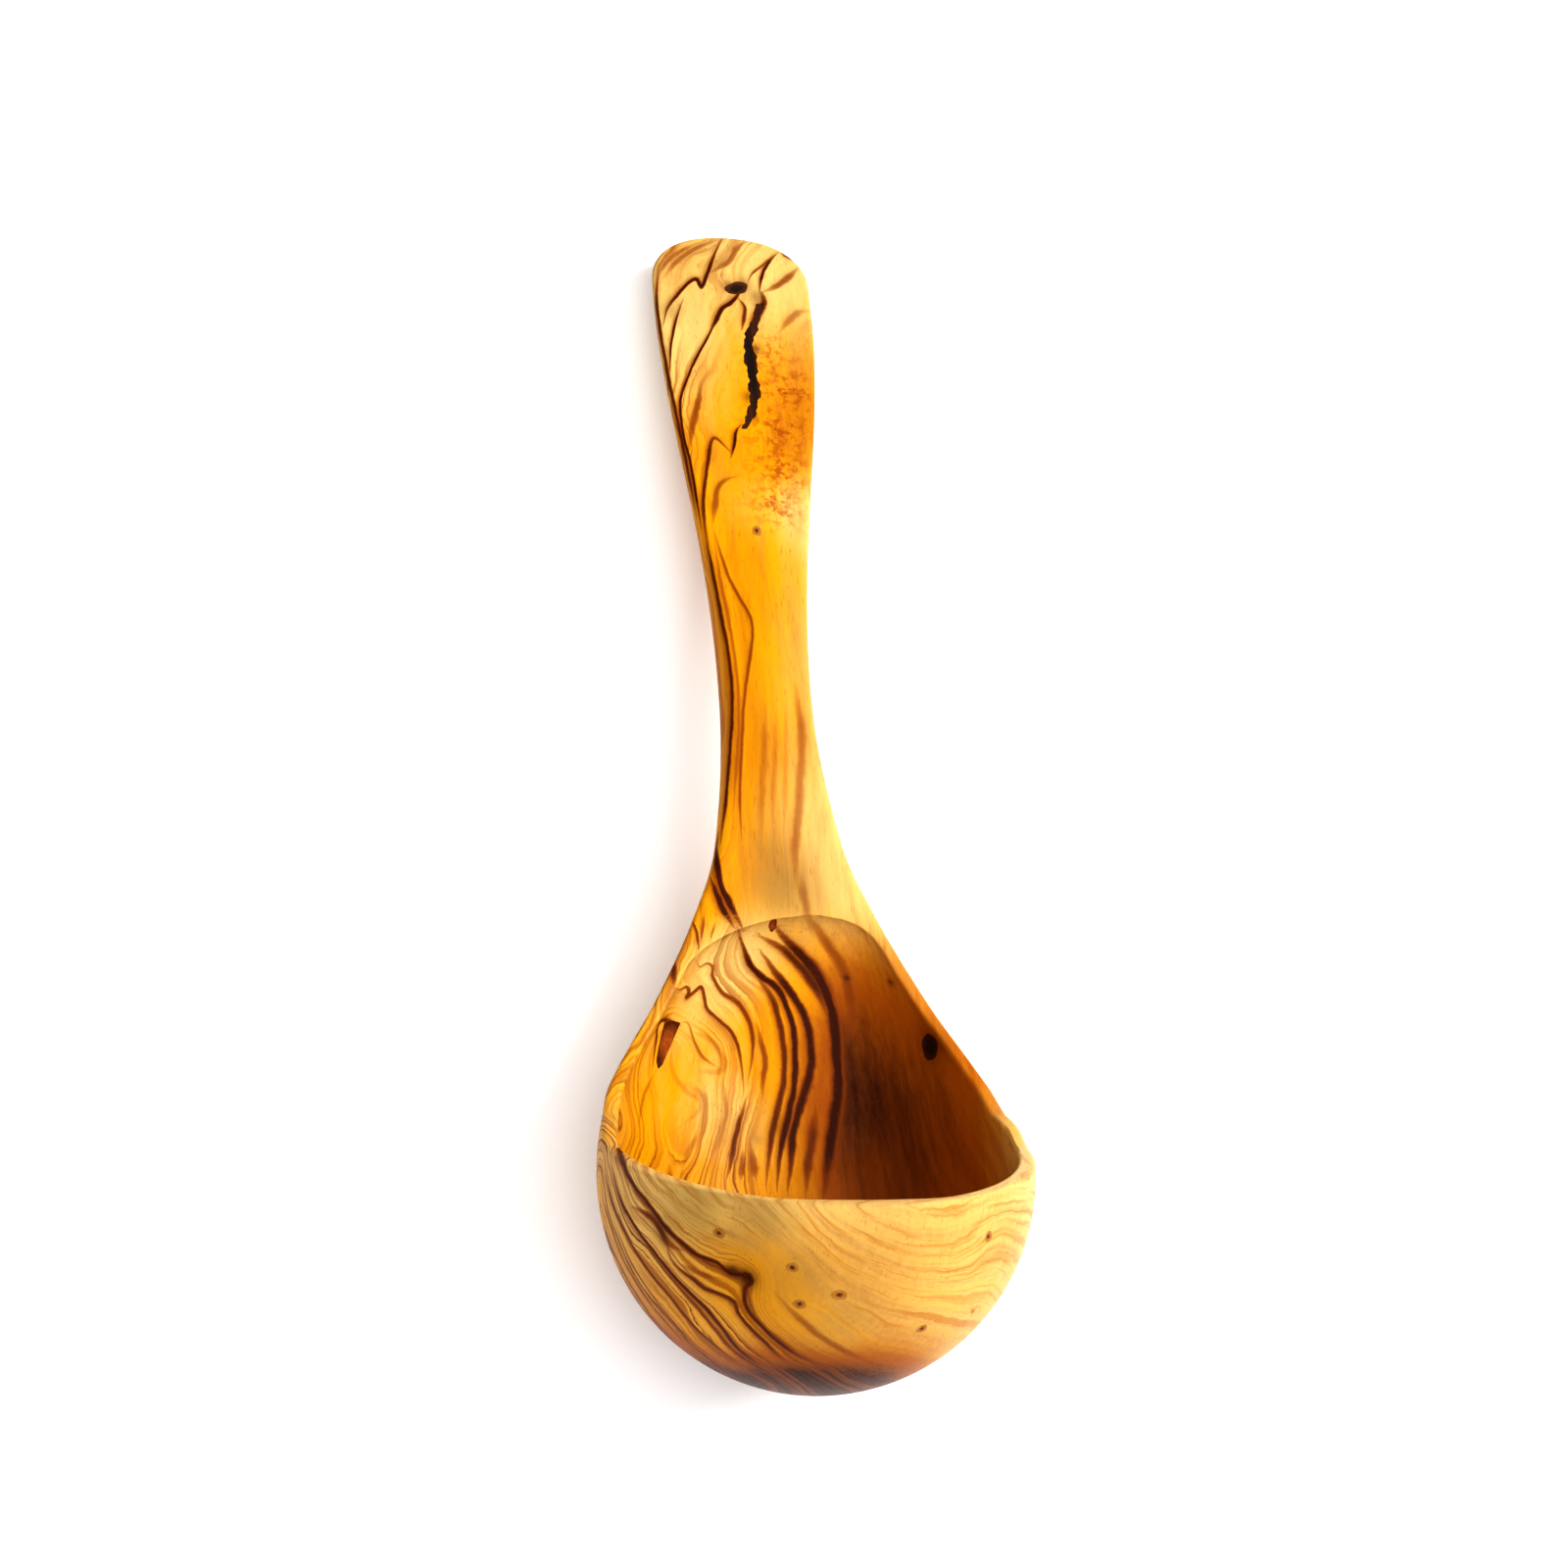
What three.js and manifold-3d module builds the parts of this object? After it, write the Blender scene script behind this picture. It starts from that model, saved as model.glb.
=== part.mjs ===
// A wooden ladle carved from one billet of olive wood, lying on its back on a table.
// Millimetres, +Z up, +Y from the bowl towards the tail, origin under the bowl where it rests.
import * as THREE from "three";
import { mergeVertices } from "three/addons/utils/BufferGeometryUtils.js";
import Module from "manifold-3d";

// Bowl: a sphere whose middle lies a little below its mouth, which starts at z = 0 of the carving frame.
const BOWL_RADIUS = 43.2;
const BOWL_DROP = 2.2;
const BOWL_WALL = 4.5;
const LIP_RISE = 0.1;
const RIM_LAND = 3.4;
const RIM_SOFTNESS = 8;

// Handle: leaves the back of the bowl at an angle to the mouth and leans back a little more on its way.
const HANDLE_ANGLE = 62;
const HANDLE_BEND = 6;
const HANDLE_LENGTH = 169.3;
const HANDLE_THICKNESS = 14;
const TAIL_THICKNESS = 12;
const NECK_WIDTH = 18;
const TAIL_WIDTH = 37.4;
const TAIL_ROUNDING = 13;
const TAIL_SLANT = 0.8;
const SLANT_RUN = 40;
const TAIL_LEAD = 6;
const FACE_CROWN = 0.9;
const CROWN_RUN = 20;
const ARCH_RUN = 13.4;
const ARCH_SHIFT = 5.6;
const ARCH_TIP = 1.2;
const HOLLOW_FALL = 0.75;
const HOLLOW_STEEP = 0.6;
const HANDLE_EDGE = 2.6;
const RIM_EDGE = 1.5;

// The sections turn about a pivot above the mouth while they pass round the bowl.
const PIVOT_HEIGHT = 14;
const FACE_OFFSET = 17;

// Shoulder outline: way up the handle and half-width, both as shares of the bowl radius.
const SHOULDER = [
  [0.139, 0.936],
  [0.274, 0.87],
  [0.598, 0.678],
  [1.014, 0.47],
  [1.43, 0.316],
];
// Shoulder back: way up the handle and thickness, both as shares of the bowl radius.
const SHOULDER_BACK = [
  [0.274, 0.632],
  [0.598, 0.493],
  [1.014, 0.389],
  [1.43, 0.34],
];
const APEX_SHARE = 1.051;
const NECK_SHARE = 2.25;

// Natural inclusions: each sits in its own pocket with a hairline of clearance.
const KNOT_CLEARANCE = 0.3;
const KNOT_DEPTH = 2.4;
const PIN_DEPTH = 2;
const PIN_SIZE = 2;

// Bark-filled crack in the head of the handle: its middle line as shares of its length.
const SEAM_FROM_TIP = 35.7;
const SEAM_ASIDE = 2.2;
const SEAM_LENGTH = 34;
const SEAM_WIDTH = 3;
const SEAM_LINE = [
  [0.106, 0.506],
  [0.068, 0.371],
  [0, 0.206],
  [0.006, -0.024],
  [0.012, -0.212],
  [-0.024, -0.365],
  [-0.082, -0.488],
];

// Knots on the face side: the head of the handle, both sides of the hollow and the top of its rim.
const HEAD_KNOT_FROM_TIP = 14.4;
const HEAD_KNOT_ASIDE = 0.8;
const HEAD_KNOT_WIDTH = 5.4;
const HEAD_KNOT_LENGTH = 3.2;
const SPIKE_KNOT_WIDTH = 7.4;
const SPIKE_KNOT_LENGTH = 9.6;
const ROUND_KNOT_WIDTH = 4.2;
const ROUND_KNOT_LENGTH = 6;
const RIM_KNOT_WIDTH = 1.6;
const RIM_KNOT_LENGTH = 3.2;
const RIM_KNOT_ASIDE = 2.7;
const HANDLE_PIN_FROM_TIP = 78.8;

// Pin knots outside the bowl: degrees round from the front, way across, width and length, as shares.
const BOWL_PINS = [
  [31.7, -0.615, 1.2, 0.9],
  [33.6, -0.312, 1.1, 0.9],
  [41.9, -0.264, 1.2, 1],
  [38.3, -0.098, 1.5, 1],
  [50, 0.323, 1.1, 1],
  [32.9, 0.61, 1, 1.1],
];

// Depth of the flats worn where the ladle rests.
const REST_FLAT = 0.45;

// Mesh density.
const FAN_RINGS = 24;
const BACK_RINGS = 14;
const HANDLE_RINGS = 24;
const TAIL_RINGS = 7;
const OUTER_POINTS = 17;
const INNER_POINTS = 11;
const EDGE_POINTS = 4;

const RAD = Math.PI / 180;
const WALL_RADIUS = BOWL_RADIUS - BOWL_WALL;
const APEX = APEX_SHARE * BOWL_RADIUS;
const NECK = NECK_SHARE * BOWL_RADIUS;
const HANDLE_END = APEX + HANDLE_LENGTH;
const TAIL_START = HANDLE_END - TAIL_ROUNDING;
const FIRST_ANGLE = Math.atan2(PIVOT_HEIGHT, BOWL_RADIUS);
const LAST_ANGLE = Math.PI / 2 + HANDLE_ANGLE * RAD;
const FAN_SPAN = LAST_ANGLE - FIRST_ANGLE;
const MOUTH_DROP = PIVOT_HEIGHT - LIP_RISE * BOWL_RADIUS;
const BOWL_BELOW = PIVOT_HEIGHT + BOWL_DROP;

const wasm = await Module();
wasm.setup();

const clamp01 = (t) => Math.min(Math.max(t, 0), 1);
const smoothstep = (t) => clamp01(t) ** 2 * (3 - 2 * clamp01(t));
const mix = (a, b, t) => a + (b - a) * t;

// A smooth curve through the points that never swings past them.
function through(points, x) {
  const last = points.length - 1;
  const gap = (i) => points[i + 1][0] - points[i][0];
  const rise = (i) => (points[i + 1][1] - points[i][1]) / gap(i);
  const slope = (i) => {
    if (i === 0) return rise(0);
    if (i === last) return rise(last - 1);
    if (rise(i - 1) * rise(i) <= 0) return 0;
    const before = 2 * gap(i) + gap(i - 1);
    const after = gap(i) + 2 * gap(i - 1);
    return (before + after) / (before / rise(i - 1) + after / rise(i));
  };
  let i = 0;
  while (i < last - 1 && x > points[i + 1][0]) i += 1;
  const t = (x - points[i][0]) / gap(i);
  const here = (1 + 2 * t) * (1 - t) ** 2 * points[i][1] + t * (1 - t) ** 2 * gap(i) * slope(i);
  const next = t * t * (3 - 2 * t) * points[i + 1][1] - t * t * (1 - t) * gap(i) * slope(i + 1);
  return here + next;
}

// Where a ray from the pivot, turned by the angle from the front, meets a sphere about the bowl's centre.
function sphereReach(angle, radius) {
  return BOWL_BELOW * Math.sin(angle) + Math.sqrt(radius ** 2 - (BOWL_BELOW * Math.cos(angle)) ** 2);
}

// The nearer of two reaches, with the corner between them rounded off.
function softCorner(a, b) {
  const near = Math.min(a, b);
  const far = Math.max(a, b);
  return near - RIM_SOFTNESS * Math.log(1 + Math.exp((near - far) / RIM_SOFTNESS));
}

// Section of the bowl at an angle about the pivot: the rim bends softly from the mouth into the handle face,
// and above the middle of the sphere the walls stand upright.
function bowlSection(angle) {
  const mouth = MOUTH_DROP / (Math.sin(angle) - LIP_RISE * Math.cos(angle));
  const turn = Math.cos(LAST_ANGLE - angle);
  const face = turn > 0.05 ? FACE_OFFSET / turn : 20 * FACE_OFFSET;
  const rim = softCorner(mouth, face);
  const along = [-Math.cos(angle), -Math.sin(angle)];
  const y = rim * along[0];
  const z = Math.min(BOWL_BELOW + rim * along[1], 0);
  const halfWidth = Math.sqrt(Math.max(BOWL_RADIUS ** 2 - y * y - z * z, 0.01));
  return {
    pivot: [0, PIVOT_HEIGHT],
    along,
    halfWidth,
    rim,
    outer: sphereReach(angle, BOWL_RADIUS),
    inner: Math.max(sphereReach(angle, WALL_RADIUS), rim),
    half: halfWidth - Math.min(RIM_LAND, 0.42 * halfWidth),
    shift: 0,
    edge: RIM_EDGE,
    steep: 0,
  };
}

// Middle line of the handle's pivot: straight past the bowl, then leaning back more towards the tail.
function handlePivot(way) {
  const steps = 24;
  let y = 0;
  let z = PIVOT_HEIGHT;
  for (let i = 0; i < steps; i += 1) {
    const heading = handleHeading((way * (i + 0.5)) / steps);
    y += (Math.cos(heading) * way) / steps;
    z += (Math.sin(heading) * way) / steps;
  }
  return [y, z];
}

function handleHeading(way) {
  return (HANDLE_ANGLE - HANDLE_BEND * smoothstep((way - APEX) / HANDLE_LENGTH)) * RAD;
}

// Section of the handle at a way up from the pivot; below the apex it still holds the bowl's hollow.
function handleSection(way) {
  const start = bowlSection(LAST_ANGLE);
  const heading = handleHeading(way);
  const scaled = (shares) => shares.map(([a, b]) => [a * BOWL_RADIUS, b * BOWL_RADIUS]);
  const round = clamp01((way - TAIL_START) / TAIL_ROUNDING);
  const tipWidth = Math.max(1 - round ** 2.4, 1e-3) ** (1 / 2.4);
  const tipThickness = 0.4 + 0.6 * Math.max(1 - round ** 2.6, 0) ** (1 / 2.6);
  const widths = [
    [0, start.halfWidth],
    ...scaled(SHOULDER),
    [NECK, NECK_WIDTH / 2],
    [TAIL_START - TAIL_LEAD, TAIL_WIDTH / 2],
    [HANDLE_END, TAIL_WIDTH / 2],
  ];
  const backs = [
    [0, start.outer - FACE_OFFSET],
    ...scaled(SHOULDER_BACK),
    [NECK, HANDLE_THICKNESS],
    [HANDLE_END, TAIL_THICKNESS],
  ];
  const halfWidth = through(widths, way) * tipWidth;
  const lean = HANDLE_ANGLE * RAD;
  const climb = way * (Math.sin(lean) - LIP_RISE * Math.cos(lean));
  const mouth = (MOUTH_DROP + climb) / (Math.cos(lean) + LIP_RISE * Math.sin(lean));
  const rim = softCorner(mouth, FACE_OFFSET);
  const risen = Math.min(way / APEX, 1);
  const hollow = (start.inner - FACE_OFFSET) * (1 - risen ** 1.15) ** HOLLOW_FALL;
  const closing = clamp01((way - APEX) / ARCH_RUN + 1);
  const arch = Math.max((halfWidth - RIM_LAND) * Math.sqrt(1 - closing ** 3), ARCH_TIP);
  const onHandle = smoothstep((way - APEX) / CROWN_RUN);
  return {
    pivot: handlePivot(way),
    along: [Math.sin(heading), -Math.cos(heading)],
    halfWidth,
    rim,
    outer: FACE_OFFSET + through(backs, way) * tipThickness,
    inner: way < APEX ? Math.max(FACE_OFFSET + hollow, rim) : FACE_OFFSET - FACE_CROWN * onHandle * tipWidth,
    half: mix(arch, 0.55 * halfWidth, onHandle),
    shift: ARCH_SHIFT * closing ** 2 * (1 - onHandle),
    edge: mix(RIM_EDGE, HANDLE_EDGE, smoothstep((way - 0.6 * APEX) / APEX)) * tipWidth,
    steep: way < APEX ? smoothstep(risen / HOLLOW_STEEP) : 0,
    slant: TAIL_SLANT * smoothstep((way - HANDLE_END) / SLANT_RUN + 1),
  };
}

// Circular arc through (-half, 0), (0, depth) and (half, 0), at a share from -1 to 1.
function arcPoint(half, depth, share) {
  if (Math.abs(depth) < 1e-3) return [half * share, 0];
  const radius = (half * half + depth * depth) / (2 * Math.abs(depth));
  const reach = Math.atan2(half, radius - Math.abs(depth)) * share;
  const level = Math.abs(depth) - radius + radius * Math.cos(reach);
  return [radius * Math.sin(reach), Math.sign(depth) * level];
}

// Rounds the corner between two points with the edge's own points.
function rounding(from, corner, to) {
  const points = [];
  for (let i = 0; i < EDGE_POINTS; i += 1) {
    const t = (i + 0.5) / EDGE_POINTS;
    const blend = (k) => (1 - t) ** 2 * from[k] + 2 * t * (1 - t) * corner[k] + t * t * to[k];
    points.push([blend(0), blend(1)]);
  }
  return points;
}

// Closed outline of a section: back arc, rounded edge, land, rounded lip and hollow or crowned face.
function outline(section) {
  const { halfWidth, half, shift, edge } = section;
  const depth = section.outer - section.rim;
  const hollow = section.inner - section.rim;
  const land = halfWidth - half - Math.abs(shift);
  const backTrim = 1 - Math.min(0.3, edge / Math.hypot(halfWidth, depth));
  const lipTrim = 1 - Math.min(0.3, (0.7 * RIM_EDGE) / Math.hypot(half, hollow));
  const round = Math.min(edge, 0.45 * land);
  const lip = Math.min(0.7 * RIM_EDGE, 0.4 * land);
  const inside = (share) => {
    const [x, level] = arcPoint(half, hollow, share);
    if (section.steep === 0) return [x, level];
    const across = mix(x, half * Math.sin(share * 90 * RAD), section.steep);
    return [across, hollowDepth(section, half, hollow, across)];
  };
  const corner = rounding(arcPoint(halfWidth, depth, backTrim), [halfWidth, 0], [halfWidth - round, 0]);
  const brim = rounding([half + lip, 0], [half, 0], inside(lipTrim));
  const mirrored = (line) => line.map(([x, n]) => [-x, n]).reverse();
  const hollowLine = [...brim];
  for (let i = 0; i < INNER_POINTS; i += 1) {
    hollowLine.push(inside(lipTrim * (1 - (2 * i) / (INNER_POINTS - 1))));
  }
  hollowLine.push(...mirrored(brim));
  const points = [];
  for (let i = 0; i < OUTER_POINTS; i += 1) {
    points.push(arcPoint(halfWidth, depth, backTrim * ((2 * i) / (OUTER_POINTS - 1) - 1)));
  }
  points.push(...corner, ...hollowLine.map(([x, n]) => [x + shift, n]), ...mirrored(corner));
  return points;
}

// A point of a section, from its side-ways place and its depth below the rim.
function place(section, x, depth) {
  const reach = section.rim + depth;
  const slant = section.slant ? (-0.5 * section.slant * x) / (TAIL_WIDTH / 2) : 0;
  const y = section.pivot[0] + reach * section.along[0] - slant * section.along[1];
  const z = section.pivot[1] + reach * section.along[1] + slant * section.along[0];
  return new THREE.Vector3(x, y, z);
}

// All sections from the front lip under the bowl and up the handle to the tail.
function sections() {
  const list = [];
  for (let i = 0; i < FAN_RINGS; i += 1) {
    list.push(bowlSection(FIRST_ANGLE + FAN_SPAN * ((i + 0.45) / FAN_RINGS) ** 1.25));
  }
  for (let i = 0; i < BACK_RINGS; i += 1) {
    list.push(handleSection((APEX * i) / BACK_RINGS));
  }
  for (let i = 0; i < HANDLE_RINGS; i += 1) {
    list.push(handleSection(mix(APEX, TAIL_START, i / HANDLE_RINGS)));
  }
  for (let i = 0; i < TAIL_RINGS; i += 1) {
    list.push(handleSection(TAIL_START + TAIL_ROUNDING * Math.sin((i / TAIL_RINGS) * 90 * RAD)));
  }
  return list;
}

// Skin over closed rings of equal length, with a point at each end.
function skin(rings, first, last) {
  const count = rings[0].length;
  const positions = [first, ...rings.flat(), last].flatMap((p) => [p.x, p.y, p.z]);
  const end = rings.length * count + 1;
  const index = [];
  for (let j = 0; j < count; j += 1) {
    const next = (j + 1) % count;
    index.push(0, 1 + j, 1 + next);
    index.push(end, end - count + next, end - count + j);
    for (let i = 0; i < rings.length - 1; i += 1) {
      const a = 1 + i * count + j;
      const b = 1 + i * count + next;
      index.push(a, a + count, b);
      index.push(b, a + count, b + count);
    }
  }
  const geometry = new THREE.BufferGeometry();
  geometry.setAttribute("position", new THREE.Float32BufferAttribute(positions, 3));
  geometry.setIndex(index);
  return geometry;
}

const ladleSections = sections();
const rings = ladleSections.map((s) => outline(s).map(([x, n]) => place(s, x, n)));
const middle = (ring) => ring.reduce((sum, p) => sum.add(p), new THREE.Vector3()).divideScalar(ring.length);
const blankGeometry = skin(rings, middle(rings[0]), middle(rings[rings.length - 1]));

function toSolid(geometry) {
  const plain = new THREE.BufferGeometry();
  plain.setAttribute("position", geometry.getAttribute("position"));
  plain.setIndex(geometry.getIndex());
  const merged = mergeVertices(plain, 1e-4);
  return new wasm.Manifold(
    new wasm.Mesh({
      numProp: 3,
      vertProperties: new Float32Array(merged.getAttribute("position").array),
      triVerts: new Uint32Array(merged.getIndex().array),
    }),
  );
}

function toGeometry(solid) {
  const mesh = solid.getMesh();
  const geometry = new THREE.BufferGeometry();
  geometry.setAttribute("position", new THREE.BufferAttribute(mesh.vertProperties, 3));
  geometry.setIndex(new THREE.BufferAttribute(mesh.triVerts, 1));
  geometry.computeVertexNormals();
  return geometry;
}

// Depth below the rim of an arc through (-half, 0), (0, depth) and (half, 0).
function arcDepth(half, depth, x) {
  if (Math.abs(depth) < 1e-3) return 0;
  const radius = (half * half + depth * depth) / (2 * Math.abs(depth));
  return Math.sign(depth) * (Math.abs(depth) - radius + Math.sqrt(Math.max(radius * radius - x * x, 0)));
}

// Depth of the hollow or face below the rim; towards the apex the hollow's walls stand steeper than an arc.
function hollowDepth({ steep }, half, depth, x) {
  const bow = depth * Math.sqrt(Math.max(1 - (x / half) ** 2, 0));
  return mix(arcDepth(half, depth, x), bow, steep);
}

// Frame of a spot on the surface: X across the ladle, Y along its spine, Z out of the wood.
function spotFrame({ sectionAt, where, x, outside }) {
  const point = (along, across) => {
    const section = sectionAt(along);
    const depth = (outside ? section.outer : section.inner) - section.rim;
    const level = outside
      ? arcDepth(section.halfWidth, depth, across)
      : hollowDepth(section, section.half, depth, across - section.shift);
    return place(section, across, level);
  };
  const step = outside ? 0.002 : 0.1;
  const here = point(where, x);
  const spine = point(where + step, x).sub(here).normalize();
  const across = point(where, x + 0.1).sub(here).normalize();
  const out = new THREE.Vector3().crossVectors(across, spine).normalize();
  if (outside) out.negate();
  across.crossVectors(spine, out);
  return new THREE.Matrix4().makeBasis(across, spine, out).setPosition(here);
}

// Outlines of the inclusions, each with an amount to grow by for its pocket.
const oval = (wide, long) => (grow) => {
  const shape = new THREE.Shape();
  shape.absellipse(0, 0, wide / 2 + grow, long / 2 + grow, 0, 2 * Math.PI);
  return shape;
};

const shield = (wide, long) => (grow) => {
  const w = wide / 2 + grow;
  const top = long / 2 + grow;
  const corners = [
    [-0.6 * w, top],
    [-w, -0.6 * top],
    [-0.8 * w, -top],
    [-0.4 * w, -0.85 * top],
    [0.3 * w, -0.1 * top],
    [w, 0.8 * top],
    [0.2 * w, top],
  ];
  return new THREE.Shape(corners.map(([x, y]) => new THREE.Vector2(x, y)));
};

const crack = (long, wide) => (grow) => {
  const last = SEAM_LINE.length - 1;
  const width = (i) => wide * (0.35 + 0.65 * Math.sin((Math.PI * (i + 0.7)) / (last + 1.4))) + 2 * grow;
  const end = (i) => (i === 0 ? grow : 0) - (i === last ? grow : 0);
  const point = ([x, y], i, sign) => new THREE.Vector2(x * long + (sign * width(i)) / 2, y * long + end(i));
  const side = (sign) => SEAM_LINE.map((share, i) => point(share, i, sign));
  return new THREE.Shape([...side(-1), ...side(1).reverse()]);
};

function plug(inclusion, grow) {
  const proud = 1.6;
  const height = inclusion.depth + grow + proud;
  const options = { depth: height, bevelEnabled: false, curveSegments: 5 };
  const geometry = new THREE.ExtrudeGeometry(inclusion.shape(grow), options);
  geometry.rotateZ(inclusion.spin ?? 0);
  geometry.translate(0, 0, proud - height);
  return toSolid(geometry.applyMatrix4(spotFrame(inclusion)));
}

const onFace = (where, x) => ({ sectionAt: handleSection, where, x, outside: false });
const onBowlOutside = (degrees, x) => ({ sectionAt: bowlSection, where: degrees * RAD, x, outside: true });

const bowlPins = BOWL_PINS.map(([degrees, aside, wide, long], i) => ({
  name: `pin_knot_${i + 1}`,
  ...onBowlOutside(degrees, aside * BOWL_RADIUS),
  shape: oval(wide * PIN_SIZE, long * PIN_SIZE),
  depth: PIN_DEPTH,
}));

const INCLUSIONS = [
  {
    name: "bark_seam",
    ...onFace(HANDLE_END - SEAM_FROM_TIP, SEAM_ASIDE),
    shape: crack(SEAM_LENGTH, SEAM_WIDTH),
    depth: KNOT_DEPTH,
    bark: true,
  },
  {
    name: "head_knot",
    ...onFace(HANDLE_END - HEAD_KNOT_FROM_TIP, HEAD_KNOT_ASIDE),
    shape: oval(HEAD_KNOT_WIDTH, HEAD_KNOT_LENGTH),
    depth: KNOT_DEPTH,
    spin: 0.3,
    bark: true,
  },
  {
    name: "spike_knot",
    ...onFace(0.468 * BOWL_RADIUS, -0.575 * BOWL_RADIUS),
    shape: shield(SPIKE_KNOT_WIDTH, SPIKE_KNOT_LENGTH),
    depth: KNOT_DEPTH,
  },
  {
    name: "round_knot",
    ...onFace(0.42 * BOWL_RADIUS, 0.68 * BOWL_RADIUS),
    shape: oval(ROUND_KNOT_WIDTH, ROUND_KNOT_LENGTH),
    depth: KNOT_DEPTH,
  },
  {
    name: "rim_knot",
    ...onFace(APEX - RIM_KNOT_WIDTH, -RIM_KNOT_ASIDE),
    shape: oval(RIM_KNOT_WIDTH, RIM_KNOT_LENGTH),
    depth: PIN_DEPTH,
  },
  ...bowlPins,
  {
    name: `pin_knot_${bowlPins.length + 1}`,
    ...onFace(HANDLE_END - HANDLE_PIN_FROM_TIP, 0),
    shape: oval(0.9 * PIN_SIZE, 1.2 * PIN_SIZE),
    depth: PIN_DEPTH,
  },
];

// Tip the ladle back until the bowl and the tail touch the table together.
function restingTilt() {
  const bowl = rings.slice(0, FAN_RINGS + BACK_RINGS).flat();
  const tail = rings.slice(FAN_RINGS + BACK_RINGS).flat();
  const lowest = (points, tilt) =>
    Math.min(...points.map((p) => p.z * Math.cos(tilt) - p.y * Math.sin(tilt)));
  let less = 0;
  let more = Math.PI / 2;
  for (let i = 0; i < 40; i += 1) {
    const tilt = (less + more) / 2;
    if (lowest(bowl, tilt) < lowest(tail, tilt)) less = tilt;
    else more = tilt;
  }
  return { tilt: less, lift: -lowest(bowl, less) - REST_FLAT };
}

const { tilt, lift } = restingTilt();
const carving = new THREE.Group();
carving.name = "carving";
carving.rotation.x = -tilt;
carving.position.set(0, BOWL_DROP * Math.sin(tilt), lift);
carving.updateMatrix();

// The table sands a small flat under the bowl and one under the tail.
const table = new THREE.BoxGeometry(1000, 1000, 100).translate(0, 0, -50);
const floor = toSolid(table.applyMatrix4(carving.matrix.clone().invert()));

const blank = toSolid(blankGeometry).subtract(floor);
const pockets = INCLUSIONS.map((inclusion) => plug(inclusion, KNOT_CLEARANCE));
const bodySolid = pockets.reduce((solid, pocket) => solid.subtract(pocket), blank);

const oliveWood = new THREE.MeshStandardMaterial({ color: 0xc98a3a, roughness: 0.45, metalness: 0 });
const knotWood = new THREE.MeshStandardMaterial({ color: 0x4a2812, roughness: 0.6, metalness: 0 });
const bark = new THREE.MeshStandardMaterial({ color: 0x24140c, roughness: 0.85, metalness: 0 });

function addPiece(name, solid, material) {
  const mesh = new THREE.Mesh(toGeometry(solid), material);
  mesh.name = name;
  carving.add(mesh);
}

addPiece("ladle_body", bodySolid, oliveWood);
INCLUSIONS.forEach((inclusion) => {
  const solid = plug(inclusion, 0).intersect(blank);
  addPiece(inclusion.name, solid, inclusion.bark ? bark : knotWood);
});

const root = new THREE.Group();
root.name = "wooden_ladle";
root.add(carving);

export default root;
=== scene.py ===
"""Looks of a ladle carved from one billet of olive wood, lying on its back on a pale table.

Sizes in the classes are millimetres; the meshes are metres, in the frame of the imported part.
"""

import logging
import math
from collections.abc import Sequence
from dataclasses import dataclass
from enum import Enum
from typing import Union

import bpy
import numpy as np
from mathutils import Matrix, Vector
from mathutils.bvhtree import BVHTree


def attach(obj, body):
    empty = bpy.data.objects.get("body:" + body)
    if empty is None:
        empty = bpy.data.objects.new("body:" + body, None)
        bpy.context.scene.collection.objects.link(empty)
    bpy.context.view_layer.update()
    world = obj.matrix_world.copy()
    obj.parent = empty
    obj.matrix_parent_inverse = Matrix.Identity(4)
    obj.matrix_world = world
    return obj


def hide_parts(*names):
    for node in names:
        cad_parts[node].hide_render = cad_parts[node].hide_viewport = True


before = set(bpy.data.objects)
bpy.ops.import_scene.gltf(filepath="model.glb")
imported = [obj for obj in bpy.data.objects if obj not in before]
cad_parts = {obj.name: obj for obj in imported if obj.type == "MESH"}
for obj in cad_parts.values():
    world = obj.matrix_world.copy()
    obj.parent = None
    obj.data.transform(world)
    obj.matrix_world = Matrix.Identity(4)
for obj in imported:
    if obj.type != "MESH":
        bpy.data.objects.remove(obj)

LOG = logging.getLogger("ladle")
MM = 0.001
BODY = "root"
STUDIO_LIGHT = 1.55
# An arc shallower than this, in millimetres, is drawn straight.
FLAT_ARC = 1e-3

Numbers = Union[float, np.ndarray]
Pair = tuple[float, float]
Pixel = tuple[float, float]
Colour = tuple[float, float, float, float]
Hit = tuple[np.ndarray, np.ndarray]


def smoothstep(share: Numbers) -> Numbers:
    """Eases from 0 to 1 over the same range."""
    share = np.clip(share, 0.0, 1.0)
    return share * share * (3 - 2 * share)


def mix(start: Numbers, end: Numbers, share: Numbers) -> Numbers:
    """The number at a share of the way from start to end."""
    return start + (end - start) * share


def srgb(red: int, green: int, blue: int) -> Colour:
    """A screen colour of 0 to 255 as the linear colour that a shader takes.

    Args:
        red: Red share, from 0 to 255.
        green: Green share.
        blue: Blue share.

    Returns:
        The linear colour.
    """
    shares = [value / 255 for value in (red, green, blue)]
    linear = [s / 12.92 if s <= 0.04045 else ((s + 0.055) / 1.055) ** 2.4 for s in shares]
    return (linear[0], linear[1], linear[2], 1.0)


def lit(red: int, green: int, blue: int) -> Colour:
    """Colour of a surface that shows this screen colour under the studio's bright light."""
    return tuple(value / STUDIO_LIGHT for value in srgb(red, green, blue)[:3]) + (1.0,)


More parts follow.
